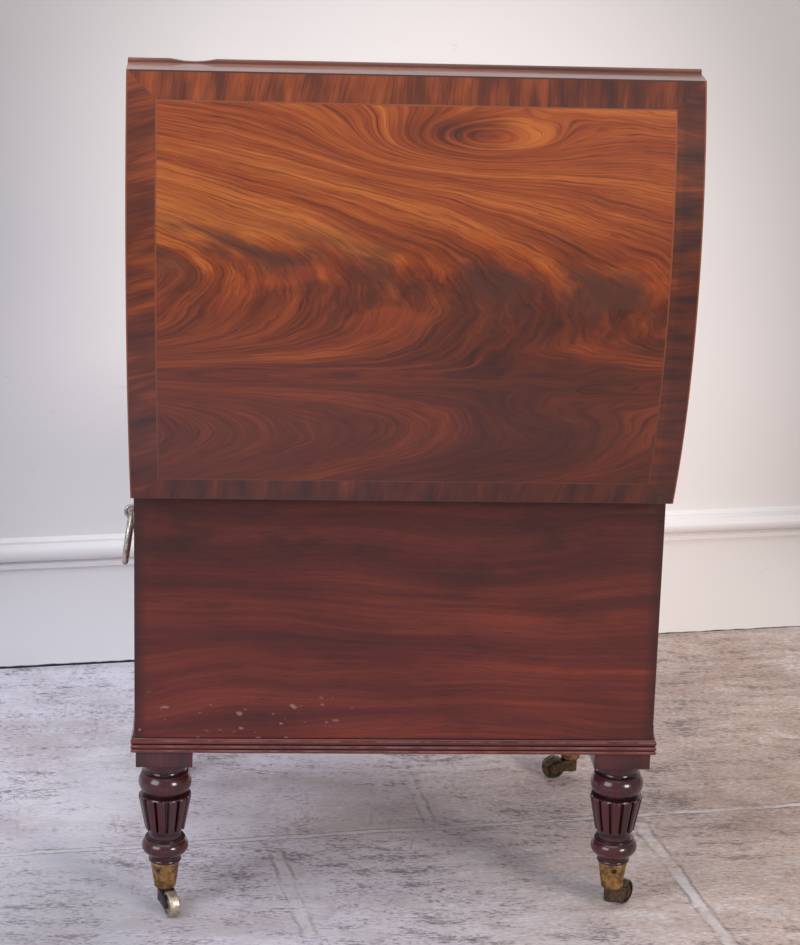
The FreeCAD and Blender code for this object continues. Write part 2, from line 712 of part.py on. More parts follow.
def inner_plan(width):
    """Corners in plan of the lid's top, inset by a width all round."""
    dx = LID_HX - width
    dy = LID_DEPTH / 2 - inset_in_depth(width)
    return [(-dx, LID_MID - dy), (dx, LID_MID - dy), (dx, LID_MID + dy), (-dx, LID_MID + dy)]


def frame_of(outer, inner):
    """The border between two insets, as one loop of veneer."""
    return veneer_sheet().common(plan_prism(inner_plan(outer))).cut(plan_prism(inner_plan(inner)))


def crossband():
    """Four mitred strips between the arris line and the stringing."""
    outer, inner = inner_plan(ARRIS_LINE), inner_plan(CROSSBAND - STRINGING)
    strips = []
    for i in range(4):
        j = (i + 1) % 4
        strips += veneer_sheet().common(plan_prism([outer[i], outer[j], inner[j], inner[i]])).Solids
    return group(strips)


def lid_bead():
    """The bead along the front of the rim, worn away for a hand's width."""
    front = strip(bead_profile(), LID_HX, LID_DEPTH / 2, 180, mitre_start=False, mitre_end=False,
                  centre_y=LID_MID)
    radius = (CHIP_LENGTH ** 2 / 4 + CHIP_DEPTH ** 2) / (2 * CHIP_DEPTH)
    y = LID_FRONT - BEAD_PROUD + CHIP_DEPTH - radius
    chip = rod(radius, V(CHIP_X, y, LID_BOTTOM - CUT_PAST), V(CHIP_X, y, LID_BOTTOM + BEAD_HEIGHT + CUT_PAST))
    return front.cut(chip).Solids[0]


def lid():
    y0, y1 = LID_FRONT + LID_BOARD, LID_BACK - LID_BOARD
    front = lid_board(-LID_HX, LID_HX, LID_FRONT, y0).cut(link_plate_housing())
    back = lid_board(-LID_HX, LID_HX, y1, LID_BACK).cut([back_bevel(1)] + hinge_cuts(1))
    end = lid_board(LID_HX - LID_BOARD, LID_HX, y0, y1)
    pieces = {
        "lid_front_rail": front, "lid_back_rail": back, "lid_end_right": end, "lid_end_left": mirrored(end),
        "lid_staves": staves(), "lid_bead": lid_bead(), "lid_crossband": crossband(),
        "lid_field_veneer": veneer_sheet().common(plan_prism(inner_plan(CROSSBAND))),
        "lid_stringing": frame_of(CROSSBAND - STRINGING, CROSSBAND),
        "lid_arris_line": frame_of(0.0, ARRIS_LINE),
    }
    for name, shape in pieces.items():
        save(name, shut_to_open(shape))


# Hinges

def hinge_leaf(x, side):
    """A leaf with its share of the barrel: side -1 is on the carcase, +1 on the lid."""
    half = HINGE_LENGTH / 2
    pitch = HINGE_LENGTH / KNUCKLES
    plate = leaf_recess(x, side)
    first = 0 if side < 0 else 1
    mine, others = [], []
    for i in range(KNUCKLES):
        start = V(x - half + i * pitch, HINGE_Y, RIM_Z)
        end = start + V(pitch, 0, 0)
        if i % 2 == first:
            mine.append(rod(KNUCKLE_R, start + V(KNUCKLE_GAP / 2, 0, 0), end - V(KNUCKLE_GAP / 2, 0, 0)))
        else:
            others.append(rod(KNUCKLE_R + KNUCKLE_GAP, start - V(KNUCKLE_GAP / 2, 0, 0),
                              end + V(KNUCKLE_GAP / 2, 0, 0)))
    bore = rod(PIN_R + (RUNNING_FIT if side > 0 else 0.01), V(x - half - CUT_PAST, HINGE_Y, RIM_Z),
               V(x + half + CUT_PAST, HINGE_Y, RIM_Z))
    holes = [leaf_screw(x + dx, side, RUNNING_FIT) for dx in screw_places()]
    return plate.cut(others).fuse(mine).cut([bore] + holes).removeSplitter().Solids[0]


def hinges():
    pins, lower, upper = [], [], []
    half = HINGE_LENGTH / 2
    for side_name, x in zip(("left", "right"), hinge_places()):
        save("hinge_leaf_carcase_" + side_name, hinge_leaf(x, -1))
        save("hinge_leaf_lid_" + side_name, shut_to_open(hinge_leaf(x, 1)))
        pins.append(rod(PIN_R, V(x - half, HINGE_Y, RIM_Z), V(x + half, HINGE_Y, RIM_Z)))
        lower += [leaf_screw(x + dx, -1) for dx in screw_places()]
        upper += [leaf_screw(x + dx, 1) for dx in screw_places()]
    save("hinge_pins", group(pins))
    save("hinge_screws_carcase", group(lower))
    save("hinge_screws_lid", shut_to_open(group(upper)))


# Lock

def link_places():
    return [-LINK_X, LINK_X]


def link_slot(x):
    """The slot in the lock's top that a link comes down through."""
    half_x = LINK_THICK / 2 + LINK_CLEARANCE
    half_y = LINK_WIDTH / 2 + LINK_CLEARANCE
    return box(x - half_x, x + half_x, LOCK_MID - half_y, LOCK_MID + half_y,
               RIM_Z - LOCK_HEIGHT / 2, RIM_Z + CUT_PAST)


def lock_case():
    """A hollow case with two ledges that the bolt slides on."""
    x, y0, y1 = LOCK_WIDTH / 2, LOCK_BACK - LOCK_DEPTH, LOCK_BACK
    z0, z1 = CARCASE_TOP - LOCK_HEIGHT, CARCASE_TOP
    shell = box(-x, x, y0, y1, z0, z1)
    x, y0, y1 = x - LOCK_WALL, LOCK_ROOM_FRONT, LOCK_BACK - LOCK_WALL
    room = box(-x, x, y0, y1, z0 + LOCK_WALL, z1 - LOCK_WALL)
    ledge_z = BOLT_TOP - BOLT_HEIGHT - SEAT_GAP
    left, right = GUIDE_OPENING
    ledges = [box(x0, x1, LOCK_MID - BOLT_THICK / 2, y1, ledge_z - GUIDE_HEIGHT, ledge_z)
              for x0, x1 in ((-x, left), (right, x))]
    slots = [link_slot(link) for link in link_places()]
    return shell.cut([room.cut(ledges), keyhole(KEYHOLE_GAP, LOCK_MID)] + slots)


def lock_bolt():
    """A sliding plate with two fingers that go through the links, and a talon for the key's bit."""
    y0, y1 = LOCK_MID - BOLT_THICK / 2, LOCK_MID + BOLT_THICK / 2
    half_finger = (LINK_EYE[1] - LINK_CLEARANCE) / 2
    finger_bottom, finger_top = LINK_EYE_Z - half_finger, LINK_EYE_Z + half_finger
    fingers = []
    for x in link_places():
        tip = x - (LINK_THICK + LINK_CLEARANCE) / 2
        root = tip - BOLT_THROW - BOLT_POST
        fingers.append(box(root, root + BOLT_POST, y0, y1, BOLT_TOP - BOLT_HEIGHT, finger_top))
        fingers.append(box(root, tip, y0, y1, finger_bottom, finger_top))
    talon = box(root, root + BOLT_POST, y0, y1, KEY_Z - TALON_BELOW_KEY, BOLT_TOP)
    left = fingers[0].BoundBox.XMin
    plate = box(left, BOLT_RIGHT, y0, y1, BOLT_TOP - BOLT_HEIGHT, BOLT_TOP)
    return plate.fuse(fingers + [talon]).removeSplitter().Solids[0]


def link_plate_housing():
    """The recess of the link plate in the bottom of the lid's front rail."""
    x, y = LINK_PLATE_LENGTH / 2, LINK_PLATE_WIDTH / 2
    return box(-x, x, LOCK_MID - y, LOCK_MID + y, LID_BOTTOM, LID_BOTTOM + LINK_PLATE)


def link_plate():
    """A plate under the lid's rail with two links that the bolt's fingers pass through."""
    half_x, half_y = LINK_THICK / 2, LINK_WIDTH / 2
    eye_y, eye_z = LINK_EYE[0] / 2, LINK_EYE[1] / 2
    links, eyes = [], []
    for x in link_places():
        links.append(box(x - half_x, x + half_x, LOCK_MID - half_y, LOCK_MID + half_y,
                         RIM_Z - LINK_DROP, LID_BOTTOM))
        eyes.append(box(x - LINK_THICK, x + LINK_THICK, LOCK_MID - eye_y, LOCK_MID + eye_y,
                        LINK_EYE_Z - eye_z, LINK_EYE_Z + eye_z))
    return link_plate_housing().fuse(links).cut(eyes).removeSplitter().Solids[0]


def keyhole(gap, inner_y):
    """The hole that the key and its bit go in through, from the front face to a depth."""
    front = -HY - 2 * ESCUTCHEON_THICK
    half_bit = KEY_BIT_THICK / 2 + gap
    slot = box(-half_bit, half_bit, front, inner_y, KEY_Z - KEY_R - KEY_BIT - gap, KEY_Z)
    return rod(KEY_R + gap, V(0, front, KEY_Z), V(0, inner_y, KEY_Z)).fuse(slot)


def key():
    """A key with a ring bow, in the lock with its bit hanging down."""
    bit_front = LOCK_ROOM_FRONT + KEY_BIT_GAP
    tip = LOCK_MID + BOLT_THICK / 2
    bow_back = -HY - KEY_STANDS_OFF
    bow_y = bow_back - KEY_BOW_R - KEY_BOW_BAR_R
    half_bit = KEY_BIT_THICK / 2
    shank = rod(KEY_R, V(0, bow_back - KEY_BOW_BAR_R, KEY_Z), V(0, tip, KEY_Z))
    bit = box(-half_bit, half_bit, bit_front, tip, KEY_Z - KEY_R - KEY_BIT, KEY_Z)
    bow = Part.makeTorus(KEY_BOW_R, KEY_BOW_BAR_R, V(0, bow_y, KEY_Z), V(1, 0, 0))
    collar = rod(KEY_COLLAR_R, V(0, bow_back - KEY_COLLAR, KEY_Z), V(0, bow_back, KEY_Z))
    return shank.fuse([bit, bow, collar]).removeSplitter().Solids[0]


def escutcheon():
    """A round brass plate with a hole for the key."""
    plate = rod(ESCUTCHEON_R, V(0, -HY - ESCUTCHEON_THICK, KEY_Z), V(0, -HY, KEY_Z))
    return plate.cut(keyhole(KEYHOLE_GAP, LOCK_MID))


def lock():
    save("lock_case", lock_case())
    save("lock_bolt", lock_bolt())
    save("lock_key", key())
    save("lock_escutcheon", escutcheon())
    save("lock_link_plate", shut_to_open(link_plate()))


# Inside

def inside(gap):
    """Half sizes of the room between the boards, less a gap."""
    return HX - WALL - gap, PANEL_INNER_Y - gap


def liner():
    x, y = inside(LINER_GAP)
    top = CARCASE_TOP - LINER_BELOW_RIM
    shell = box(-x, x, -y, y, FLOOR_Z, top)
    return shell.cut(box(-x + LINER, x - LINER, -y + LINER, y - LINER, FLOOR_Z + LINER, top))


def divider_lines(count, half):
    """Where the dividers stand, so that the cells between them are equal."""
    cell = (2 * half - (count - 1) * DIVIDER) / count
    return [-half + (i + 1) * cell + (i + 0.5) * DIVIDER for i in range(count - 1)]


def dividers():
    """Long dividers slotted from below over cross dividers slotted from above."""
    x, y = inside(LINER_GAP + LINER + LINER_GAP)
    z0 = FLOOR_Z + LINER
    z1 = z0 + DIVIDER_HEIGHT
    middle = (z0 + z1) / 2
    cross_x = divider_lines(COLUMN_COUNT, x)
    long_y = divider_lines(ROW_COUNT, y)
    half = DIVIDER / 2
    slot = half + JOINERY_GAP
    down = [box(cx - slot, cx + slot, -y, y, z0, middle) for cx in cross_x]
    up = [box(-x, x, ly - slot, ly + slot, middle - JOINERY_GAP, z1) for ly in long_y]
    long_boards = [box(-x, x, ly - half, ly + half, z0, z1).cut(down).Solids[0] for ly in long_y]
    cross_boards = [box(cx - half, cx + half, -y, y, z0, z1).cut(up).Solids[0] for cx in cross_x]
    save("dividers_long", group(long_boards))
    save("dividers_cross", group(cross_boards))


def main():
    os.makedirs("parts", exist_ok=True)
    carcase()
    base_mouldings()
    coves()
    legs()
    castors()
    handles()
    lid()
    hinges()
    lock()
    save("liner", liner())
    dividers()


main()
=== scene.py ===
"""Finishes and fine pieces of the domed-lid mahogany cellarette, laid out as an add-on.

Metres, in the frame of the construction: the floor is Z = 0, the lock faces -Y and the hinges are
at +Y. Left and right are as seen from the front, so +X is the right side.
"""

import cmath
import json
import math

import bmesh
import bpy
from bpy.props import FloatProperty, FloatVectorProperty, IntProperty, PointerProperty
from mathutils import Matrix, Vector


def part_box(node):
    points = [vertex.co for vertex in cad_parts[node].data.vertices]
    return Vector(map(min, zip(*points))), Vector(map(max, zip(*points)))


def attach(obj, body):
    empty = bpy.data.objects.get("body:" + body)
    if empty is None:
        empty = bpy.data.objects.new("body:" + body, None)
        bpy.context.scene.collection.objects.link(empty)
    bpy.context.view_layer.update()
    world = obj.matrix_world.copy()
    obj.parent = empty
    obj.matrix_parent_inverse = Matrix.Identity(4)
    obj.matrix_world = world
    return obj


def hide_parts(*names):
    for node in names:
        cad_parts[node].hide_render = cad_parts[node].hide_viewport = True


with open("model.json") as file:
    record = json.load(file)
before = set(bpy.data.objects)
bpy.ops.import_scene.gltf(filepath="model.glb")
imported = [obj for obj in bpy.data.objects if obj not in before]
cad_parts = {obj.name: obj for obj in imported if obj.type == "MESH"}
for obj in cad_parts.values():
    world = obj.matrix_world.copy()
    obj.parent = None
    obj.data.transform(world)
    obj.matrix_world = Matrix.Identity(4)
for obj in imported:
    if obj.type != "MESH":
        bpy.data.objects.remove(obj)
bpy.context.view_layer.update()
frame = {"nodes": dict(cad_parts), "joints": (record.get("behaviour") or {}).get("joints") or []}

bl_info = {
    "name": "Domed cellarette",
    "version": (1, 0, 0),
    "blender": (4, 5, 0),
    "location": "3D View > Sidebar > Cellarette",
    "description": "French-polished mahogany, aged brass and turned legs for a cellarette",
    "category": "Object",
}

NODES = frame["nodes"]
MM = 0.001
FULL_TURN = 2 * math.pi


# What a user would change

def length(name, value, description):
    """A size in metres."""
    return FloatProperty(name=name, description=description, default=value, min=0.0, unit="LENGTH")


def colour(name, value, description):
    """A linear colour."""
    return FloatVectorProperty(name=name, description=description, default=value, size=3,
                               min=0.0, max=1.0, subtype="COLOR")


def share(name, value, description):
    """A number from 0 to 1."""
    return FloatProperty(name=name, description=description, default=value, min=0.0, max=1.0,
                         subtype="FACTOR")


def power(name, value, description):
    """The strength of a lamp."""
    return FloatProperty(name=name, description=description, default=value, min=0.0, unit="POWER")


class VeneerSettings(bpy.types.PropertyGroup):
    """Colours and polish of the veneers on the lid."""

    gold: colour("Gold", (0.455, 0.125, 0.022), "Brightest streaks of the flame figure")
    amber: colour("Amber", (0.250, 0.047, 0.010), "Ground of the flame figure")
    russet: colour("Russet", (0.118, 0.022, 0.008), "Shaded ground of the flame figure")
    umber: colour("Umber", (0.026, 0.009, 0.006), "Dark feathers of the flame figure")
    smoke: colour("Smoke", (0.082, 0.026, 0.017), "Grey brown feathers over the heart of the flame")
    blush: colour("Blush", (0.330, 0.055, 0.014), "Red patches over the heart of the flame")
    # Painted reflection of the room, laid as a veil over the lower part of the lid
    painted_reflection: colour("Bloom", (0.095, 0.040, 0.046), "Dulled polish on the lower part of the lid")
    band_light: colour("Band light", (0.290, 0.060, 0.014), "Bright stripes of the crossbanding")
    band_dark: colour("Band dark", (0.040, 0.012, 0.011), "Dark stripes of the crossbanding")
    line: colour("Line", (0.235, 0.062, 0.020), "Inlaid lines")
    roughness: share("Roughness", 0.38, "Roughness of the wood under its polish")
    polish: share("Polish", 0.35, "Weight of the french polish")


class MahoganySettings(bpy.types.PropertyGroup):
    """Colours of the solid mahogany."""

    light: colour("Light", (0.200, 0.035, 0.020), "Bright grain of the carcase")
    middle: colour("Middle", (0.098, 0.017, 0.014), "Ground of the carcase")
    dark: colour("Dark", (0.035, 0.011, 0.010), "Dark grain of the carcase")
    turned_light: colour("Turned light", (0.088, 0.014, 0.015), "Bright grain of the legs")
    turned_dark: colour("Turned dark", (0.018, 0.006, 0.008), "Dark grain and dirt of the legs")
    inside_light: colour("Inside light", (0.300, 0.110, 0.045), "Bright grain of unpolished wood inside")
    inside_dark: colour("Inside dark", (0.130, 0.044, 0.022), "Dark grain of unpolished wood inside")


class MetalSettings(bpy.types.PropertyGroup):
    """Colours of the metal fittings."""

    cup: colour("Cup", (0.54, 0.31, 0.11), "Bare brass of the castor cups")
    cup_tarnish: colour("Cup tarnish", (0.13, 0.065, 0.030), "Brown tarnish of the castor cups")
    wheel: colour("Wheel", (0.68, 0.60, 0.48), "Worn brass of the castor wheels")
    horn: colour("Horn", (0.045, 0.040, 0.040), "Dark bronze of the castor horns")
    ring: colour("Ring", (0.66, 0.60, 0.52), "Rubbed brass of the ring handles")
    eye: colour("Eye", (0.52, 0.50, 0.50), "Silvery brass of the ring's eye")
    fitting: colour("Fitting", (0.58, 0.40, 0.16), "Brass of the hinges and the lock")
    steel: colour("Steel", (0.24, 0.23, 0.22), "Screws, pins and bolt")
    zinc: colour("Zinc", (0.40, 0.42, 0.44), "Metal lining of the cells")


class LegSettings(bpy.types.PropertyGroup):
    """Sizes of a turned leg, from the floor up."""

    reeds: IntProperty(name="Reeds", description="Reeds round the bell", default=13, min=3, max=40)
    bell_top: length("Bell top", 0.0283, "Radius over the reeds at the top of the bell")
    bell_top_height: length("Bell top height", 0.1376, "Height of the top of the bell")
    bell_foot: length("Bell foot", 0.0208, "Radius over the reeds at the foot of the bell")
    bell_foot_height: length("Bell foot height", 0.0975, "Height of the foot of the bell")
    groove: length("Groove", 0.0044, "Depth of the grooves between the reeds")
    reed_width: length("Reed width", 0.0100, "Width of a reed at the top")
    reed_round: length("Reed round", 0.0024, "Rounding of a reed's corners")
    upper_ring: length("Upper ring", 0.0290, "Radius of the ring under the block")
    lower_ring: length("Lower ring", 0.0256, "Radius of the ring under the bell")
    block_foot: length("Block foot", 0.1786, "Height of the foot of the square block")
    block_edge: length("Block edge", 0.0009, "Rounding of the block's edges")


class StageSettings(bpy.types.PropertyGroup):
    """Floor, wall and lamps."""

    floor: colour("Floor", (0.74, 0.70, 0.79), "Flagstones on the window's side")
    # The floor on the side away from the window, painted in warm light
    painted_warm_floor: colour("Warm floor", (0.58, 0.44, 0.37), "Flagstones on the other side")
    wall: colour("Wall", (0.92, 0.87, 0.86), "Wall on the window's side")
    # The wall on the side away from the window, painted in warm light
    painted_warm_wall: colour("Warm wall", (0.94, 0.89, 0.885), "Wall on the other side")
    sky: colour("Sky", (0.80, 0.88, 1.0), "Colour of the light all round")
    sky_strength: FloatProperty(name="Sky strength", description="Strength of the light all round",
                                default=0.36, min=0.0)
    ceiling: power("Ceiling", 48.0, "Strength of the large soft lamp overhead")
    window: power("Window", 92.0, "Strength of the cool lamp on the right side")
    fill: power("Fill", 98.0, "Strength of the warm lamp on the left side")


GROUPS = {"veneer": VeneerSettings, "mahogany": MahoganySettings, "metal": MetalSettings,
          "leg": LegSettings, "stage": StageSettings}


class CellaretteSettings(bpy.types.PropertyGroup):
    """Everything that a user would change."""

    __annotations__ = {name: PointerProperty(type=group, name=name.capitalize(), description=group.__doc__)
                       for name, group in GROUPS.items()}


# Node trees

class Value:
    """A socket that takes part in arithmetic by adding Math nodes."""

    def __init__(self, graph, socket):
        self.graph = graph
        self.socket = socket

    def _math(self, operation, *operands):
        return self.graph.node("Math", {"operation": operation}, dict(enumerate(operands)))

    def __add__(self, other):
        return self._math("ADD", self, other)

    __radd__ = __add__

    def __sub__(self, other):
        return self._math("SUBTRACT", self, other)

    def __rsub__(self, other):
        return self._math("SUBTRACT", other, self)

    def __mul__(self, other):
        return self._math("MULTIPLY", self, other)

    __rmul__ = __mul__

    def __truediv__(self, other):
        return self._math("DIVIDE", self, other)

    def __rtruediv__(self, other):
        return self._math("DIVIDE", other, self)

    def __pow__(self, other):
        return self._math("POWER", self, other)

    def __neg__(self):
        return self._math("MULTIPLY", self, -1.0)

    def __abs__(self):
        return self._math("ABSOLUTE", self)

    def exp(self):
        return self._math("EXPONENT", self)

    def above(self, other):
        return self._math("GREATER_THAN", self, other)

    def larger(self, other):
        return self._math("MAXIMUM", self, other)

    def step(self, low, high):
        """0 below one value, 1 above the other and smooth between."""
        return self.graph.node("MapRange", {"interpolation_type": "SMOOTHSTEP"},
                               {"Value": self, "From Min": low, "From Max": high})


class Graph:
    """A node tree that is built node by node."""

    def __init__(self, tree):
        self.tree = tree

    def node(self, kind, settings=None, inputs=None, output=0):
        """Add a node with its settings, and feed its sockets; a short kind is that of a shader node."""
        node = self.tree.nodes.new(kind if "Node" in kind else "ShaderNode" + kind)
        for key, value in (settings or {}).items():
            if key == "stops":
                self._set_stops(node.color_ramp.elements, value)
            else:
                setattr(node, key, value)
        for key, value in (inputs or {}).items():
            self.feed(node.inputs[key], value)
        return Value(self, node.outputs[output])

    def feed(self, socket, value):
        """Link a socket or set its value; a colour goes in without its alpha."""
        if isinstance(value, Value):
            self.tree.links.new(value.socket, socket)
        elif socket.type == "RGBA":
            socket.default_value = (*value, 1.0)
        else:
            socket.default_value = value

    def _set_stops(self, elements, stops):
        while len(elements) < len(stops):
            elements.new(1.0)
        for element, (place, value) in zip(elements, stops):
            element.position = place
            element.color = (*value, 1.0)

    def vector(self, x=0.0, y=0.0, z=0.0):
        return self.node("CombineXYZ", inputs={0: x, 1: y, 2: z})


class Material(Graph):
    """The node tree of one finish, whose tint is laid down colour over colour."""

    def __init__(self, name, tint=None):
        self.material = bpy.data.materials.new(name)
        self.material.use_nodes = True
        super().__init__(self.material.node_tree)
        self.tree.nodes.clear()
        self.shader = self.tree.nodes.new("ShaderNodeBsdfPrincipled")
        self.output = self.tree.nodes.new("ShaderNodeOutputMaterial")
        self.solid = Value(self, self.shader.outputs["BSDF"])
        self.feed(self.output.inputs["Surface"], self.solid)
        self.position = self.node("TexCoord", output="Object")
        self.tint = tint

    def axes(self):
        """X, Y and Z of the point."""
        split = self.node("SeparateXYZ", inputs={0: self.position}).socket.node
        return [Value(self, socket) for socket in split.outputs]

    def noise(self, vector, scale=1.0, detail=2.0, roughness=0.5):
        """Soft noise, about 0.5 on average."""
        return self.node("TexNoise", inputs={"Vector": vector, "Scale": scale, "Detail": detail,
                                             "Roughness": roughness})

    def noise_at(self, x, y, z, detail=2.0, roughness=0.5):
        """Soft noise at a point made of three values, each scaled by itself."""
        return self.noise(self.vector(x, y, z), detail=detail, roughness=roughness)

    def ramp(self, value, stops):
        return self.node("ValToRGB", {"stops": stops}, {"Fac": value})

    def lay(self, mask, tone):
        """Lay a colour over the tint, as thickly as a mask says."""
        self.tint = self.node("Mix", {"data_type": "RGBA"}, {0: mask, 6: self.tint, 7: tone}, output=2)

    def bump(self, height, distance, strength=1.0):
        return self.node("Bump", inputs={"Height": height, "Distance": distance, "Strength": strength})

    def set(self, **sockets):
        """Feed the shader, by socket name with _ for a space."""
        for name, value in sockets.items():
            self.feed(self.shader.inputs[name.replace("_", " ")], value)

    def finish(self, **sockets):
        """Feed the shader with the tint and the rest, and give the material."""
        self.set(Base_Color=self.tint, **sockets)
        return self.material


def cluster(value, centre, reach):
    """The square of how many reaches a value lies from a centre."""
    return ((value - centre) / reach) ** 2.0


def darker(tone, left):
    """A colour with only some of its light left."""
    return [part * left for part in tone]


# Wood

# Linear colours of wear and grime, of a darker edge line, and of a painted highlight on the reeds
SCAR = (0.42, 0.26, 0.22)
RUBBED_REED_AND_HIGHLIGHT = (0.40, 0.20, 0.19)
BROWNED_LINE = (0.085, 0.022, 0.011)
DARK_EDGE_LINE = (0.050, 0.018, 0.012)
BAND_GROUND = (0.110, 0.024, 0.010)
# Dark, middle and light grain of the lid's front rail, lightened by fading and by painted light and
# reflection from above, and of its rubbed bead
FADED_AND_LIT = ((0.130, 0.050, 0.036), (0.350, 0.165, 0.128), (0.480, 0.290, 0.240))
RUBBED = ((0.050, 0.015, 0.010), (0.150, 0.052, 0.030), (0.300, 0.140, 0.090))
# Heights where grime and painted shade darken the grooves of a leg, with half of its width, in millimetres
TURNING_DIRT_AND_SHADE = ((166.0, 2.6), (139.2, 2.4), (86.3, 2.0), (93.0, 3.0), (64.5, 1.6))
# Where the quirks lie between the reeds of the base moulding, from its foot to its top
QUIRKS = (0.0, 0.27, 0.565, 1.0)


def grain_stops(dark, middle, light):
    return [(0.22, dark), (0.50, middle), (0.82, light)]


def wood(name, grain, stops, roughness, polish, seed=0.0, figure=1.0, gloss=0.16, streaks=0.0, sheen=0.3):
    """Solid mahogany; grain names three axes: along it, across it and into the board."""
    m = Material(name)
    point = dict(zip("XYZ", m.axes()))
    run, side, deep = (point[axis] for axis in grain)
    run = run + seed
    drift = m.noise_at(run * 2.2, side * 5.0, deep * 5.0)
    level = side + deep * 0.6 + (drift - 0.5) * 0.045 * figure
    broad = m.noise_at(run * 1.4, level * 34.0, seed, detail=3.0, roughness=0.55)
    fine = m.noise_at(run * 5.0, level * 260.0, deep * 90.0)
    fibre = m.noise_at(run * 26.0, level * 1500.0, deep * 900.0, detail=1.0)
    cloud = m.noise_at(run * 5.5, side * 9.0, deep * 9.0)
    tone = broad * 0.95 + fine * 0.30 + fibre * 0.14 + cloud * 0.45 - 0.42
    m.tint = m.ramp(tone, stops)
    if streaks:
        warm = m.noise_at(run * 3.0, level * 60.0, seed + 4.0, detail=1.0).step(0.60, 0.76)
        m.lay(warm * streaks, stops[-1][1])
    pore = m.noise_at(run * 70.0, level * 2600.0, deep * 1500.0, detail=0.0).step(0.62, 0.76)
    m.lay(pore * 0.45, stops[0][1])
    dull = m.noise(m.position, scale=26.0, detail=3.0)
    m.set(Roughness=dull * 0.16 + roughness, Coat_Weight=polish, Coat_Roughness=gloss,
          Specular_IOR_Level=sheen, Normal=m.bump(fine * 0.5 + pore * -0.8, 0.00012))
    return m


def plain_wood(*args, **options):
    """Solid mahogany with nothing more to its pattern."""
    return wood(*args, **options).finish()


def carcase_stops(s):
    return grain_stops(s.dark, s.middle, s.light)


def inside_stops(s):
    return [(0.2, s.inside_dark), (0.8, s.inside_light)]


def back_wood(s):
    """The plain back: grain across, darker along its left and right edges, painted shade over its upper part
    and small old scars.
    """
    m = wood("back_mahogany", "XZY", carcase_stops(s), 0.46, 0.10, seed=3.1, figure=2.6, gloss=0.34,
             streaks=0.70)
    x, _, z = m.axes()
    low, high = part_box("back_panel")
    edge = abs(x).step(high.x - 0.016, high.x - 0.001)
    shade = z.step(low.z + 0.08, high.z) * 0.58
    smudge = m.noise_at(x * 10.0, z * 24.0, 6.0, detail=4.0, roughness=0.6).step(0.50, 0.72)
    # Painted shade deepening towards the top, with random dark smudges
    m.lay(shade + smudge * 0.40, s.dark)
    # Darker along the left and right edges
    m.lay(edge * 0.72, s.dark)
    scar = m.noise_at(x * 70.0, z * 110.0, 2.0, detail=1.0).step(0.68, 0.73)
    where = z.step(low.z + 0.080, low.z + 0.050) * x.step(0.02, 0.10)
    m.lay(scar * where * 0.40, SCAR)
    return m.finish()


def turned_wood(s):
    """Dark polished mahogany of the legs, darkened with grime and painted shade where the turning goes in."""
    stops = [(0.30, s.turned_dark), (0.74, s.turned_light)]
    m = wood("turned_mahogany", "ZXY", stops, 0.28, 1.0, seed=7.7, sheen=0.14)
    _, _, z = m.axes()
    for height, half in TURNING_DIRT_AND_SHADE:
        # Grime and painted shade in the grooves of the turning
        dirt_and_shade = abs(z - height * MM).step(half * MM, half * 0.4 * MM)
        m.lay(dirt_and_shade * 0.75, darker(s.turned_dark, 0.4))
    return m.finish(Coat_Tint=(0.92, 0.95, 1.0))


def moulding_wood(s, name, grain, seed):
    """Reeded moulding: grime and painted shade in its quirks, and its reeds rubbed pale with a painted
    highlight along their upper parts.
    """
    m = wood(name, grain, carcase_stops(s), 0.30, 1.0, seed=seed, gloss=0.09, streaks=0.4, sheen=0.15)
    _, _, z = m.axes()
    foot, top = (corner.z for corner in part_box("base_moulding_back"))
    quirks = [foot + rise * (top - foot) for rise in QUIRKS]
    for low, high in zip(quirks, quirks[1:]):
        crest = abs(z - (low * 0.35 + high * 0.65)).step(1.1 * MM, 0.2 * MM)
        rub = m.noise(m.position, scale=60.0, detail=3.0).step(0.35, 0.65)
        # Rubbed wood and a painted highlight along the upper part of each reed
        m.lay(crest * rub * 0.34, RUBBED_REED_AND_HIGHLIGHT)
        # Grime and painted shade in the quirk above each reed
        m.lay(abs(z - high).step(1.0 * MM, 0.3 * MM) * 0.85, darker(s.dark, 0.4))
    return m.finish()


def veneer_finish(m, v, lines, relief):
    """French polish over a veneer, duller on its bright lines."""
    return m.finish(Roughness=lines * 0.12 + v.roughness, Coat_Weight=v.polish, Coat_Roughness=0.16,
                    Specular_IOR_Level=0.3, Normal=m.bump(relief, 0.00010))


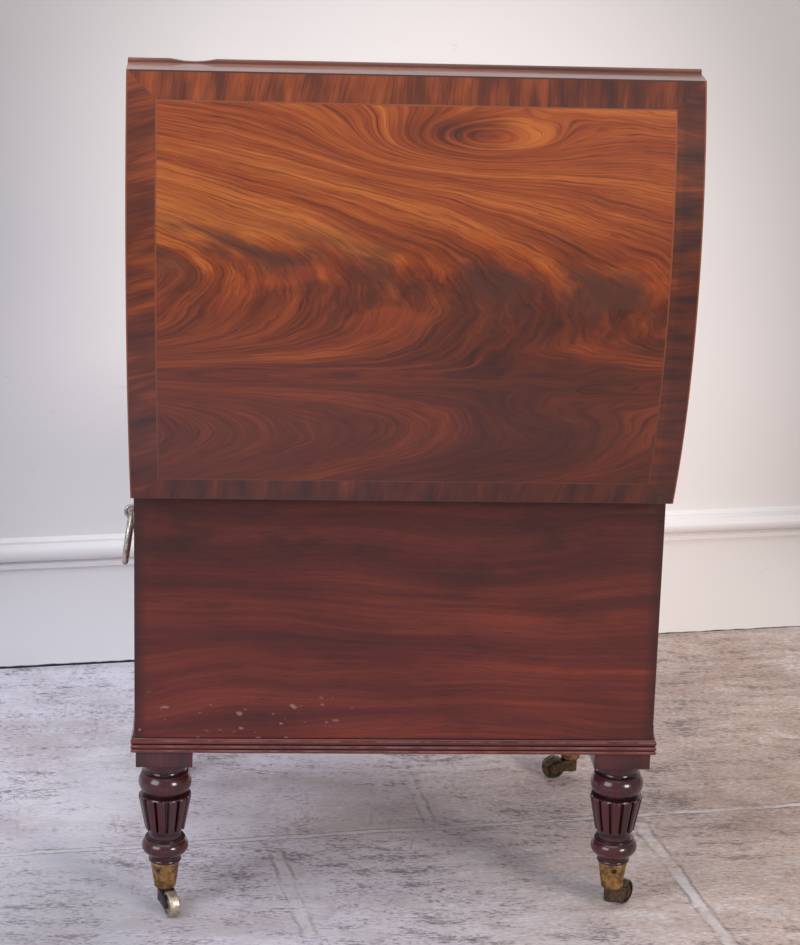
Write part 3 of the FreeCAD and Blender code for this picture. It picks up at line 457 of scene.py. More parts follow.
def band_wood(v):
    """Crossbanding: the grain runs out from the field, and turns at the mitres."""
    m = Material("crossband_mahogany")
    x, _, z = m.axes()
    low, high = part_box("lid_field_veneer")
    middle = (low.z + high.z) / 2
    side = (abs(x) - high.x).above(abs(z - middle) - (high.z - middle))
    skew = x.step(-0.1, 0.1) * 0.30 - 0.15
    run = (z + x * skew) * side + x * (1.0 - side)
    out = x * side + z * (1.0 - side)
    height = (z - low.z) / (high.z - low.z)
    drift = m.noise_at(x * 6.0, z * 6.0, 1.5)
    level = run + out * 0.12 + (drift - 0.5) * 0.03
    broad = m.noise_at(level * 46.0, out * 10.0, side * 9.0, roughness=0.6)
    fine = m.noise_at(level * 330.0, out * 14.0, 3.0, detail=3.0, roughness=0.65)
    tone = (broad - 0.5) * 1.45 + (fine - 0.5) * 0.60 + height * 0.27 + 0.34
    tone = tone - x.step(0.1, -0.26) * height * 0.20 - x.step(-high.x - 6 * MM, -high.x - 10 * MM) * 0.10
    m.tint = m.ramp(tone, [(0.10, v.band_dark), (0.48, BAND_GROUND), (0.90, v.band_light)])
    pore = m.noise_at(level * 1500.0, out * 70.0, 8.0, detail=0.0).step(0.60, 0.76)
    m.lay(pore * 0.40, v.band_dark)
    joint = abs((abs(x) - high.x) - (abs(z - middle) - (high.z - middle))).step(0.7 * MM, 0.2 * MM)
    m.lay(joint * 0.3, v.band_dark)
    # Painted reflection of the room over the lower part
    m.lay(z.step(0.74, 0.56) * 0.16, v.painted_reflection)
    return veneer_finish(m, v, fine, fine)


def line_wood(v):
    """Inlaid lines, bright where the light has not browned them, which is the upper part."""
    m = Material("line_inlay", BROWNED_LINE)
    _, _, z = m.axes()
    low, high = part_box("lid_field_veneer")
    fade = z.step(low.z + 0.02, high.z - 0.10)
    worn = m.noise(m.position, scale=90.0, detail=3.0)
    m.lay(fade * 0.65 + worn * 0.25, v.line)
    return m.finish(Roughness=v.roughness, Coat_Weight=v.polish, Coat_Roughness=0.16)


def edge_wood(v):
    """The line on the lid's edge: orange at both ends, darker along the front and the back."""
    m = Material("edge_line_inlay", DARK_EDGE_LINE)
    x, _, z = m.axes()
    worn = m.noise_at(x * 40.0, z * 40.0, 2.0, detail=3.0)
    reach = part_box("lid_arris_line")[1].x
    end = abs(x).step(reach - 3 * MM, reach - 2 * MM)
    m.lay(end * (worn * 0.6 + 0.5), v.line)
    return m.finish(Roughness=v.roughness, Coat_Weight=v.polish, Coat_Roughness=0.16)


# The flame figure is two crotches laid on their sides. Each is a family of curves that point to -X on
# a level line: its height on the open lid, how fast it climbs to -X, and how sharply it bends.
CROTCH = (0.714, 0.05, 22.0)
ARCHES = (0.569, 0.0, 45.0)
CROTCH_REACH = 0.36
MEETING = (0.622, 0.652)
# Drifts run across the lid: the height in its middle, the fall and the bend to -X, and the reach.
HEART = (0.722, 0.05, 0.0, 0.042)
DUSK = (0.748, 0.10, 0.0, 0.028)
CREST = (0.757, 0.13, -0.31, 0.016)
SEAM = (0.637, 0.0, 0.0, 0.024)
# Spots: the centre (-X, Z), the reach along and across, and the fall to -X.
FAN = ((-0.230, 0.690), (0.075, 0.022), 0.35)
EYE_OF_FLAME = ((0.048, 0.882), (0.046, 0.014), 0.0)
# Knots: a spot, and how much it lifts the curves.
KNOTS = (
    (((0.050, 0.870), (0.118, 0.029), 0.0), 0.050),
    (((-0.234, 0.745), (0.040, 0.022), 0.0), -0.010),
)


def drift_at(right, z, height, fall, bend, reach):
    """1 along the middle of a drift, fading out above and below."""
    return (-cluster(z + right * fall + right * right * bend, height, reach)).exp()


def spot_at(right, z, centre, reach, fall):
    """1 in the middle of a spot, fading out round it."""
    return (-(cluster(right, centre[0], reach[0]) + cluster(z + right * fall, centre[1], reach[1]))).exp()


def crotch_level(right, z, family):
    """How far a point lies from the heart of a crotch, the same all along a curve of its grain."""
    height, climb, bend = family
    off = z - height + right * climb
    return ((right + CROTCH_REACH) / bend + off * off).larger(0.0) ** 0.5


def flame_wood(v):
    """Flame veneer of the field: flowing gold above, dark feathers in the middle, arches below."""
    m = Material("flame_mahogany")
    x, _, z = m.axes()
    right = -x
    heart, dusk, crest, seam = (drift_at(right, z, *drift) for drift in (HEART, DUSK, CREST, SEAM))
    fan, eye = spot_at(right, z, *FAN), spot_at(right, z, *EYE_OF_FLAME)
    warp = m.noise_at(x * 5.0, z * 9.0, 4.0, detail=3.0)
    ripple = m.noise_at(x * 30.0, z * 40.0, 9.0)
    below = z.step(MEETING[1], MEETING[0])
    level = crotch_level(right, z, CROTCH) * (1.0 - below) + (crotch_level(right, z, ARCHES) + 0.038) * below
    level = level - right * seam * 0.12 + (warp - 0.5) * 0.020 + (ripple - 0.5) * (heart * 0.0050 + 0.0008)
    for spot, rise in KNOTS:
        level = level + spot_at(right, z, *spot) * rise
    broad = m.noise_at(x * 2.0, level * 60.0, 0.0)
    lines = m.noise_at(x * 5.0, level * 400.0, 3.0, detail=3.0, roughness=0.65)
    fibre = m.noise_at(x * 22.0, level * 1100.0, z * 22.0, roughness=0.7)
    feather = m.noise_at(x * 20.0 + z * 14.0, level * 135.0, 5.0, detail=5.0, roughness=0.66)
    smoke = m.noise_at(x * 10.0, level * 40.0 + z * 12.0, 12.0, detail=3.0, roughness=0.55)
    calm = 1.0 - below * 0.40
    ground = z.step(0.600, 0.680) * 0.07 + z.step(0.715, 0.800) * 0.20 + 0.345
    ground = ground + fan * 0.16 + crest * 0.15 - eye * 0.42
    ground = ground - right.step(-0.15, 0.20) * heart * 0.08 - z.step(0.60, 0.53) * 0.03
    figure = ((broad - 0.5) * 0.90 + (lines - 0.5) * 0.56) * calm * (1.0 - heart * 0.45)
    tone = ground + figure + (fibre - 0.5) * 0.42 + (feather - 0.5) * heart * 1.45
    m.tint = m.ramp(tone, [(0.06, v.umber), (0.34, v.russet), (0.58, v.amber), (0.88, v.gold)])
    m.lay(smoke.step(0.38, 0.60) * (dusk * 0.80 + heart * 0.30), v.smoke)
    blush = m.noise_at(x * 9.0, z * 22.0, 31.0).step(0.54, 0.68)
    m.lay(blush * heart * 0.45, v.blush)
    seams = m.noise_at(x * 9.0, level * 640.0, 6.0, detail=1.0).step(0.56, 0.66)
    pore = m.noise_at(x * 60.0, level * 1500.0, z * 40.0, detail=0.0).step(0.62, 0.78)
    m.lay(seams * (1.0 - heart * 0.6) * calm * 0.42 + pore * 0.32, v.umber)
    # Painted reflection of the room over the lower part
    m.lay(z.step(0.74, 0.56) * 0.18, v.painted_reflection)
    return veneer_finish(m, v, lines, lines * 0.4 + pore * -0.8)


# Metal

ZINC_STAIN = (0.20, 0.19, 0.17)


def brass(name, bare, tarnish, amount=0.5, roughness=0.30, grain=160.0, dents=0.00015):
    """Old brass: bare where it is rubbed and brown where it is not."""
    m = Material(name, bare)
    blotch = m.noise(m.position, scale=grain, detail=4.0, roughness=0.65)
    fleck = m.noise(m.position, scale=grain * 9.0)
    mask = (blotch * 0.8 + fleck * 0.2 + (amount - 0.5) * 0.6).step(0.42, 0.66)
    m.lay(mask, tarnish)
    m.lay(fleck.step(0.62, 0.75) * 0.5, darker(tarnish, 0.35))
    return m.finish(Metallic=1.0 - mask * 0.45, Roughness=mask * 0.28 + roughness,
                    Normal=m.bump(blotch * 0.7 + fleck * 0.3, dents))


def zinc(tone):
    """Dull sheet with a faint spangle and scratches from bottles."""
    m = Material("zinc_sheet", tone)
    spangle = m.node("TexVoronoi", inputs={"Vector": m.position, "Scale": 42.0}, output="Color")
    grey = m.node("RGBToBW", inputs={0: spangle})
    x, y, z = m.axes()
    scratch = m.noise_at(x * 900.0, y * 30.0, z * 60.0)
    m.lay(grey * 0.35, darker(tone, 0.6))
    stain = m.noise(m.position, scale=14.0, detail=4.0).step(0.50, 0.72)
    m.lay(stain * 0.5, ZINC_STAIN)
    return m.finish(Metallic=0.85, Roughness=scratch * 0.3 + stain * 0.2 + 0.35,
                    Normal=m.bump(scratch, 0.00008))


# Meshes

def dress(material, *names):
    """Give CAD nodes a finish."""
    for name in names:
        data = NODES[name].data
        data.materials.clear()
        data.materials.append(material)


def every(prefix):
    """The names of the CAD nodes that start alike."""
    return [name for name in sorted(NODES) if name.startswith(prefix)]


def put(name, data):
    """Make an object of a mesh, a lamp or a camera, and put it in the scene."""
    obj = bpy.data.objects.new(name, data)
    bpy.context.scene.collection.objects.link(obj)
    return obj


def smooth(mesh, angle):
    """Shade a mesh smooth up to an angle in degrees."""
    mesh.polygons.foreach_set("use_smooth", [True] * len(mesh.polygons))
    mesh.set_sharp_from_angle(angle=math.radians(angle))


def add_object(name, bm, material, angle=35.0):
    """Make an object at the origin from a bmesh, shaded smooth up to an angle."""
    mesh = bpy.data.meshes.new(name)
    bm.to_mesh(mesh)
    bm.free()
    mesh.materials.append(material)
    smooth(mesh, angle)
    return put(name, mesh)


def arc(start, through, end, steps=14):
    """Points on the circle through three (radius, height) points, from the second point on."""
    a, b, c = (complex(*point) for point in (start, through, end))
    ratio = (c - a) / (b - a)
    centre = a + (b - a) * (ratio - abs(ratio) ** 2) / (2j * ratio.imag)
    first = cmath.phase(a - centre)
    half, whole = ((cmath.phase(point - centre) - first) % FULL_TURN for point in (b, c))
    if half > whole:
        whole -= FULL_TURN
    points = [centre + cmath.rect(abs(a - centre), first + whole * i / steps) for i in range(1, steps + 1)]
    return [(point.real, point.imag) for point in points]


def outline(*steps):
    """Points of a turning; a step of two points is an arc through the first to the second."""
    points = [steps[0]]
    for step in steps[1:]:
        if isinstance(step[0], tuple):
            points += arc(points[-1], *step)
        else:
            points.append(step)
    return points


def lathe(bm, points, centre, segments=96):
    """Turn an open outline of (radius, height) round a vertical axis, and close its ends."""
    rings = []
    for radius, height in points:
        rings.append([bm.verts.new((centre.x + radius * math.cos(FULL_TURN * i / segments),
                                    centre.y + radius * math.sin(FULL_TURN * i / segments), height))
                      for i in range(segments)])
    for low, high in zip(rings, rings[1:]):
        for i in range(segments):
            j = (i + 1) % segments
            bm.faces.new((low[i], low[j], high[j], high[i]))
    bm.faces.new(rings[0][::-1])
    bm.faces.new(rings[-1])


def eased_block(bm, low, high, edge):
    """A block with rounded edges."""
    made = bmesh.ops.create_cube(bm, size=1.0)["verts"]
    for vert in made:
        vert.co = Vector([lo + (hi - lo) * (c + 0.5) for lo, hi, c in zip(low, high, vert.co)])
    edges = dict.fromkeys(e for vert in made for e in vert.link_edges)
    bmesh.ops.bevel(bm, geom=list(edges), offset=edge, segments=3, profile=0.5, affect="EDGES")


# Geometry Nodes

class Tree(Graph):
    """A Geometry Nodes tree with a named input for each value that it is given."""

    KINDS = {int: "Int", float: "Float", bpy.types.Material: "Material"}

    def __init__(self, name, values):
        super().__init__(bpy.data.node_groups.new(name, "GeometryNodeTree"))
        face = self.tree.interface
        face.new_socket("Geometry", in_out="INPUT", socket_type="NodeSocketGeometry")
        for label, value in values.items():
            kind = "NodeSocket" + self.KINDS[type(value)]
            face.new_socket(label, in_out="INPUT", socket_type=kind).default_value = value
        face.new_socket("Geometry", in_out="OUTPUT", socket_type="NodeSocketGeometry")
        self.input = self.tree.nodes.new("NodeGroupInput")
        self.output = self.tree.nodes.new("NodeGroupOutput")

    def given(self, label):
        """The value of a named input."""
        return Value(self, self.input.outputs[label])

    def close(self, instances):
        """Realize the instances, give them the material and end the tree."""
        real = self.node("GeometryNodeRealizeInstances", inputs={0: instances})
        done = self.node("GeometryNodeSetMaterial",
                         inputs={"Geometry": real, "Material": self.given("Material")})
        self.feed(self.output.inputs[0], done)
        return self.tree


def bake(name, build, points, values, outward=None):
    """Build a tree, run it on loose points and keep its result as a plain mesh object."""
    mesh = bpy.data.meshes.new(name)
    mesh.from_pydata(points, [], [])
    if outward:
        attribute = mesh.attributes.new("outward", "FLOAT_VECTOR", "POINT")
        attribute.data.foreach_set("vector", [part for direction in outward for part in direction])
    obj = put(name, mesh)
    modifier = obj.modifiers.new("build", "NODES")
    modifier.node_group = build(values)
    for item in modifier.node_group.interface.items_tree:
        if item.in_out == "INPUT" and item.name in values:
            modifier[item.identifier] = values[item.name]
    evaluated = obj.evaluated_get(bpy.context.evaluated_depsgraph_get())
    result = bpy.data.meshes.new_from_object(evaluated)
    obj.modifiers.clear()
    obj.data = result
    result.name = name
    smooth(result, 40.0)
    return obj


# Where the reeds' tops begin to round over, as a share of their length, and by how much they shrink
CROWN_START = 0.93
CROWN_FALL = 0.34
SCREW_SEED = 4


def reed_tree(values):
    """Reeds round the bell of each leg: one tapered bar with rounded corners, turned round the axis."""
    t = Tree("reeded_bell", values)
    half, taper_to = t.given("Depth") * 0.5, t.given("Foot radius") / t.given("Top radius")
    top = t.vector(t.given("Top radius") - half, z=t.given("Top height"))
    foot = t.vector(t.given("Foot radius") - half * taper_to, z=t.given("Foot height"))
    line = t.node("GeometryNodeCurvePrimitiveLine", inputs={"Start": foot, "End": top})
    line = t.node("GeometryNodeResampleCurve", inputs={"Curve": line, "Count": 25})
    along = t.node("GeometryNodeSplineParameter")
    taper = t.node("MapRange", inputs={"Value": along, "To Min": taper_to, "To Max": 1.0})
    crown = (along - CROWN_START).larger(0.0) / (1.0 - CROWN_START)
    crown = 1.0 - crown * crown * CROWN_FALL
    section = t.node("GeometryNodeCurvePrimitiveQuadrilateral",
                     inputs={"Width": t.given("Width"), "Height": t.given("Depth")})
    section = t.node("GeometryNodeFilletCurve", {"mode": "POLY"}, {
        "Curve": section, "Radius": t.given("Rounding"), "Count": 5})
    bar = t.node("GeometryNodeCurveToMesh", inputs={
        "Curve": line, "Profile Curve": section, "Scale": taper * crown, "Fill Caps": True})
    ring = t.node("GeometryNodeMeshCircle", inputs={"Vertices": t.given("Reeds"), "Radius": 0.001})
    turn = t.vector(z=t.node("GeometryNodeInputIndex") * (FULL_TURN / t.given("Reeds")))
    at_axis = t.node("GeometryNodeSetPosition", inputs={"Geometry": ring, "Position": (0, 0, 0)})
    bell = t.node("GeometryNodeInstanceOnPoints",
                  inputs={"Points": at_axis, "Instance": bar, "Rotation": turn})
    legs = t.node("GeometryNodeInstanceOnPoints", inputs={"Points": t.given("Geometry"), "Instance": bell})
    return t.close(legs)


def screw_tree(values):
    """Slotted screw heads that face outward at each point."""
    t = Tree("slotted_screws", values)
    head = t.node("GeometryNodeMeshCylinder", inputs={
        "Vertices": 32, "Radius": t.given("Head radius"), "Depth": t.given("Head height")})
    size = t.vector(t.given("Head radius") * 3.0, t.given("Slot width"), t.given("Slot depth") * 2.0)
    top = t.vector(z=t.given("Head height") * 0.5)
    slot = t.node("GeometryNodeMeshCube", inputs={"Size": size})
    slot = t.node("GeometryNodeTransform", inputs={"Geometry": slot, "Translation": top})
    cut = t.node("GeometryNodeMeshBoolean", {"operation": "DIFFERENCE", "solver": "EXACT"},
                 {"Mesh 1": head, "Mesh 2": slot})
    outward = t.node("GeometryNodeInputNamedAttribute", {"data_type": "FLOAT_VECTOR"}, {"Name": "outward"})
    facing = t.node("FunctionNodeAlignRotationToVector", {"axis": "Z"}, {"Vector": outward})
    spin = t.node("FunctionNodeRandomValue", {"data_type": "FLOAT"},
                  {2: 0.0, 3: math.pi, "Seed": SCREW_SEED}, output=1)
    own = t.node("FunctionNodeAxisAngleToRotation", inputs={"Axis": (0, 0, 1), "Angle": spin})
    turned = t.node("FunctionNodeRotateRotation", {"rotation_space": "LOCAL"}, {0: facing, 1: own})
    screws = t.node("GeometryNodeInstanceOnPoints", inputs={
        "Points": t.given("Geometry"), "Instance": cut, "Rotation": turned})
    return t.close(screws)


# One operator for each group of pieces

class Piece(bpy.types.Operator):
    """Makes or finishes one group of pieces."""

    bl_options = {"REGISTER"}

    def execute(self, context):
        self.make(context.scene.cellarette)
        return {"FINISHED"}


class FinishLid(Piece):
    """Veneer, band and polish the lid, inside and out"""

    bl_idname = "cellarette.finish_lid"
    bl_label = "Finish lid"

    def make(self, s):
        dress(flame_wood(s.veneer), "lid_field_veneer")
        dress(band_wood(s.veneer), "lid_crossband")
        dress(line_wood(s.veneer), "lid_stringing")
        dress(edge_wood(s.veneer), "lid_arris_line")
        stops = carcase_stops(s.mahogany)
        dress(plain_wood("rail_mahogany", "XZY", stops, 0.34, 0.8, seed=1.3, gloss=0.14), "lid_back_rail")
        dress(plain_wood("end_mahogany", "ZYX", stops, 0.34, 0.8, seed=5.2, gloss=0.14), *every("lid_end_"))
        rubbed, faded_and_lit, inside = grain_stops(*RUBBED), grain_stops(*FADED_AND_LIT), inside_stops(s.mahogany)
        dress(plain_wood("bead_mahogany", "XZY", rubbed, 0.34, 0.6, seed=4.4, gloss=0.20), "lid_bead")
        # The front rail is painted lighter, as if lit and reflecting light from above, over its fading
        dress(plain_wood("faded_rail_mahogany", "XZY", faded_and_lit, 0.22, 1.0, seed=1.3, gloss=0.08, sheen=0.8),
              "lid_front_rail")
        dress(plain_wood("stave_mahogany", "XZY", inside, 0.52, 0.0, seed=2.4), "lid_staves")


class FinishCarcase(Piece):
    """Polish the boards, mouldings and coves of the carcase"""

    bl_idname = "cellarette.finish_carcase"
    bl_label = "Finish carcase"

    def make(self, s):
        stops = carcase_stops(s.mahogany)
        dress(back_wood(s.mahogany), "back_panel")
        dress(plain_wood("front_mahogany", "XZY", stops, 0.34, 0.6, seed=6.6, figure=2.0, gloss=0.12,
                         streaks=0.6), "front_panel")
        dress(plain_wood("side_mahogany", "YZX", stops, 0.34, 0.6, seed=4.4, figure=1.6, gloss=0.12,
                         streaks=0.5), "side_left", "side_right")
        dress(plain_wood("bottom_mahogany", "XYZ", stops, 0.55, 0.0, seed=8.8), "bottom_board")
        dress(plain_wood("cove_mahogany", "XZY", stops, 0.30, 0.8, seed=2.9, gloss=0.10), "base_cove")
        for name, grain, seed, sides in (("moulding_mahogany", "XZY", 2.9, ("back", "front")),
                                         ("side_moulding_mahogany", "YZX", 9.1, ("left", "right"))):
            dress(moulding_wood(s.mahogany, name, grain, seed), *("base_moulding_" + side for side in sides))


class TurnLegs(Piece):
    """Turn the four legs and lay the reeds round their bells"""

    bl_idname = "cellarette.turn_legs"
    bl_label = "Turn legs"

    def make(self, s):
        leg, finish = s.leg, turned_wood(s.mahogany)
        nodes = every("leg_")
        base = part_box("bottom_board")[0].z
        bm = bmesh.new()
        centres = []
        for node in nodes:
            low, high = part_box(node)
            centre = (low + high) / 2
            centres.append((centre.x, centre.y, 0.0))
            eased_block(bm, (low.x, low.y, leg.block_foot), (high.x, high.y, base), leg.block_edge)
            lathe(bm, leg_outline(leg, low.z), centre)
        turnings = add_object("leg_turnings", bm, finish)
        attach(turnings, "carcase")
        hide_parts(*nodes)
        reeds = bake("leg_reeds", reed_tree, centres, {
            "Material": finish, "Reeds": leg.reeds, "Top radius": leg.bell_top,
            "Top height": leg.bell_top_height, "Foot radius": leg.bell_foot,
            "Foot height": leg.bell_foot_height, "Width": leg.reed_width, "Depth": leg.groove * 1.5,
            "Rounding": leg.reed_round})
        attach(reeds, "carcase")


def leg_outline(leg, foot):
    """The turned part of a leg, from inside its cup up into the block."""
    small = 0.6 * MM
    ankle, ankle_z, ankle_ring = 17.5 * MM, 58.0 * MM, 4.2 * MM
    ring_z, ring_rise, ring_fall = 77.5 * MM, 6.5 * MM, 10.5 * MM
    lower_neck, step = 18.3 * MM, 1.8 * MM
    collars = (20.9 * MM, 22.1 * MM)
    core_top, core_foot = leg.bell_top - leg.groove, leg.bell_foot - leg.groove
    hollow_z = ring_z + ring_rise + 2 * step
    upper_neck, upper_z, upper_rise, upper_fall = 23.6 * MM, 150.7 * MM, 11.4 * MM, 10.6 * MM
    collar, collar_z, collar_neck = 25.6 * MM, 163.2 * MM, 21.5 * MM
    shoulder, shoulder_foot, shoulder_z = 25.5 * MM, 23.3 * MM, 168.0 * MM
    lip, bell_z = 27.5 * MM, leg.bell_top_height
    return outline(
        (10.0 * MM, foot), (13.8 * MM, ankle_z - small), (ankle - small, ankle_z),
        ((ankle + small, ankle_z + ankle_ring / 2), (ankle - small, ankle_z + ankle_ring)),
        (ankle - small, ring_z - ring_fall - small), (ankle + small, ring_z - ring_fall),
        ((leg.lower_ring, ring_z), (collars[1], ring_z + ring_rise)),
        (collars[1], ring_z + ring_rise + step), (collars[0], ring_z + ring_rise + step),
        (collars[0], hollow_z), (lower_neck, hollow_z),
        ((lower_neck - small, (leg.bell_foot_height + hollow_z) / 2),
         (lower_neck, leg.bell_foot_height - small)),
        (core_foot, leg.bell_foot_height), (core_top, bell_z - 4 * small), (lip, bell_z - 2 * small),
        (lip - small, bell_z), (upper_neck - small, bell_z + 2 * small),
        (upper_neck, upper_z - upper_fall),
        ((leg.upper_ring, upper_z), (collar - small, upper_z + upper_rise)),
        (collar - small, collar_z - small), (collar, collar_z),
        (((collar + collar_neck) / 2 - small, collar_z + 2 * small), (collar_neck, shoulder_z - small)),
        (shoulder_foot, shoulder_z),
        ((shoulder - small, (shoulder_z + leg.block_foot) / 2), (shoulder, leg.block_foot + small)))


def islands(node):
    """The separate solids of a CAD node, in the order of its mesh, each as a list of its corners."""
    bm = bmesh.new()
    bm.from_mesh(NODES[node].data)
    bmesh.ops.remove_doubles(bm, verts=bm.verts, dist=0.001 * MM)
    seen, groups = set(), []
    for first in bm.verts:
        if first in seen:
            continue
        seen.add(first)
        group = [first]
        for vert in group:
            for other in [edge.other_vert(vert) for edge in vert.link_edges]:
                if other not in seen:
                    seen.add(other)
                    group.append(other)
        groups.append([vert.co.copy() for vert in group])
    bm.free()
    return groups


def drive_screws(node, body, facing, material, head_radius, head_height):
    """Lay slotted heads over a node of screws; facing tells which way a screw at a point looks."""
    seats, outward = [], []
    for group in islands(node):
        middle = sum(group, Vector()) / len(group)
        way = facing(middle)
        face = max(way.dot(corner) for corner in group)
        end = [corner for corner in group if way.dot(corner) > face - 0.1 * MM]
        seats.append(sum(end, Vector()) / len(end) - way * head_height / 2)
        outward.append(way)
    heads = bake(node + "_heads", screw_tree, seats, {
        "Material": material, "Head radius": head_radius, "Head height": head_height,
        "Slot width": head_radius * 0.26, "Slot depth": head_height * 0.5}, outward)
    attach(heads, body)
    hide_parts(node)


class FitCastors(Piece):
    """Age the brass of the castors and drive their screws"""

    bl_idname = "cellarette.fit_castors"
    bl_label = "Fit castors"

    def make(self, s):
        metal = s.metal
        cup = brass("cup_brass", metal.cup, metal.cup_tarnish, amount=0.60, roughness=0.34, grain=120.0)
        pale = brass("wheel_brass", metal.wheel, (0.26, 0.21, 0.15), amount=0.52, roughness=0.34,
                     grain=210.0)
        bronze = brass("wheel_bronze", (0.20, 0.16, 0.10), (0.030, 0.026, 0.024), amount=0.60, roughness=0.34,
                       grain=210.0)
        dark = brass("horn_bronze", (0.14, 0.125, 0.115), metal.horn, amount=0.70, grain=240.0)
        brown = brass("horn_brass", (0.24, 0.15, 0.07), (0.055, 0.032, 0.020), amount=0.66, roughness=0.32,
                      grain=240.0)
        for corner, wheel, horn in (("front_left", bronze, brown), ("back_left", bronze, brown),
                                    ("front_right", pale, dark), ("back_right", pale, dark)):
            for part, finish in (("cup", cup), ("wheel", wheel), ("horn", horn)):
                dress(finish, f"castor_{part}_{corner}")
        legs = [sum(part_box(name), Vector()) / 2 for name in every("leg_")]

        def away_from_leg(point):
            leg = min(legs, key=lambda middle: (middle - point).xy.length)
            return (point - leg).xy.to_3d().normalized()

        iron = brass("screw_iron", metal.steel, (0.03, 0.025, 0.022), amount=0.7)
        drive_screws("castor_cup_screws", "carcase", away_from_leg, iron, 2.9 * MM, 1.6 * MM)


class HangHandles(Piece):
    """Tarnish the roses, eyes and rings of the handles"""

    bl_idname = "cellarette.hang_handles"
    bl_label = "Hang handles"

    def make(self, s):
        metal = s.metal
        for part, bare, tarnish, amount, roughness, grain in (
                ("ring", metal.ring, (0.20, 0.155, 0.085), 0.45, 0.26, 140.0),
                ("eye", metal.eye, (0.17, 0.15, 0.12), 0.42, 0.24, 180.0),
                ("rose", metal.ring, (0.17, 0.12, 0.06), 0.56, 0.30, 110.0)):
            dress(brass(part + "_brass", bare, tarnish, amount, roughness, grain), *every(f"handle_{part}_"))
        dress(brass("nut_iron", metal.steel, (0.05, 0.04, 0.035), amount=0.6), "handle_nuts")


class FitHinges(Piece):
    """Age the hinges and drive their screws"""

    bl_idname = "cellarette.fit_hinges"
    bl_label = "Fit hinges"

    def make(self, s):
        metal = s.metal
        dress(brass("hinge_brass", metal.fitting, (0.20, 0.12, 0.045), amount=0.42), *every("hinge_leaf_"))
        dress(brass("pin_steel", metal.steel, (0.06, 0.05, 0.045), amount=0.5), "hinge_pins")
        hinge = next(joint for joint in frame["joints"] if joint["name"] == "lid_hinge")
        shut = Matrix.Rotation(math.radians(-hinge["range_deg"][1]), 3, "X")
        for node, body, way in (("hinge_screws_carcase", "carcase", Vector((0, 0, 1))),
                                ("hinge_screws_lid", "lid", shut @ Vector((0, 0, -1)))):
            screw = brass(node, metal.steel, (0.07, 0.05, 0.035), amount=0.55)
            drive_screws(node, body, lambda point, way=way: way, screw, 2.9 * MM, 0.9 * MM)


class FitLock(Piece):
    """Age the lock, its key, its escutcheon and the links on the lid"""

    bl_idname = "cellarette.fit_lock"
    bl_label = "Fit lock"

    def make(self, s):
        metal = s.metal
        dress(brass("lock_brass", metal.fitting, (0.22, 0.13, 0.05), amount=0.40),
              "lock_case", "lock_escutcheon")
        steel = brass("lock_steel", metal.steel, (0.07, 0.055, 0.045), amount=0.45, roughness=0.34)
        dress(steel, "lock_bolt", "lock_link_plate")
        dress(brass("key_brass", metal.fitting, (0.24, 0.15, 0.06), amount=0.35, roughness=0.24), "lock_key")


class LineInside(Piece):
    """Line the inside with zinc and set the bottle dividers"""

    bl_idname = "cellarette.line_inside"
    bl_label = "Line inside"

    def make(self, s):
        stops = inside_stops(s.mahogany)
        dress(zinc(s.metal.zinc), "liner")
        dress(plain_wood("long_divider_mahogany", "XZY", stops, 0.5, 0.1, seed=1.9), "dividers_long")
        dress(plain_wood("cross_divider_mahogany", "YZX", stops, 0.5, 0.1, seed=3.7), "dividers_cross")


# Stage: the eye stands at the back, a little to the right side and above the lid
EYE = Vector((0.151848, 2.708523, 1.190607))
YAW, PITCH, ROLL = -0.0600530, 0.2662385, 0.0268724
FOCAL = 2463.6
PICTURE_WIDTH = 800
SENSOR = 36.0
WALL_LEFT = Vector((1.6, -0.376))
WALL_RIGHT = Vector((-1.6, -0.947))
STAGE_REACH = 6.0
# Rows of the floor and of the wall with its skirting, as (out from the wall, height)
FLOOR_ROWS = ((6.0, 0.0), (1.0, 0.0), (-5.0, 0.0))
TORUS = [(0.006 + 0.009 * math.cos(angle), 0.172 + 0.011 * math.sin(angle))
         for angle in [math.pi * (i / 12 - 0.5) for i in range(13)]]
WALL_ROWS = ((0.0, 0.003), (0.0, 0.148), (0.006, 0.150), (0.006, 0.156), (0.002, 0.159), *TORUS,
             (0.001, 0.184), (0.001, 0.187), (-0.003, 0.189), (-0.006, 0.192), (-0.006, 0.200), (-0.006, 4.0))
# Linear colours of wear on the floor, and of painted shade and painted light on the floor and the wall
HOLLOW = (0.195, 0.160, 0.160)
LEDGE = (0.82, 0.80, 0.84)
STAIN = (0.26, 0.165, 0.130)
DARK_PATCH = (0.20, 0.19, 0.20)
CRACK = (0.14, 0.11, 0.10)
MORTAR = (0.72, 0.69, 0.70)
OPEN_JOINT = (0.13, 0.10, 0.095)
FAR_FLOOR_SHADE = (0.09, 0.08, 0.08)
FAR_WALL_SHADE = (0.17, 0.17, 0.17)
LIT_SKIRTING = (0.96, 0.945, 0.945)
SCUFF = (0.36, 0.31, 0.27)
FOOT_GAP_SHADE = (0.02, 0.017, 0.016)
# The joints between the flagstones: from, to and half of the width
JOINTS = (
    ((-0.024, -0.300), (-0.062, -0.045), 0.008),
    ((0.131, 0.005), (0.070, 0.380), 0.009),
    ((1.500, 0.220), (-1.500, -0.260), 0.006),
    ((-0.315, -0.045), (-0.390, 0.420), 0.009),
)


def eye_matrix():
    """Where the camera stands, and its turn: roll, then pitch down, then yaw from facing -Y."""
    turn = (Matrix.Rotation(math.pi + YAW, 4, "Z") @ Matrix.Rotation(math.pi / 2 - PITCH, 4, "X")
            @ Matrix.Rotation(ROLL, 4, "Z"))
    return Matrix.Translation(EYE) @ turn


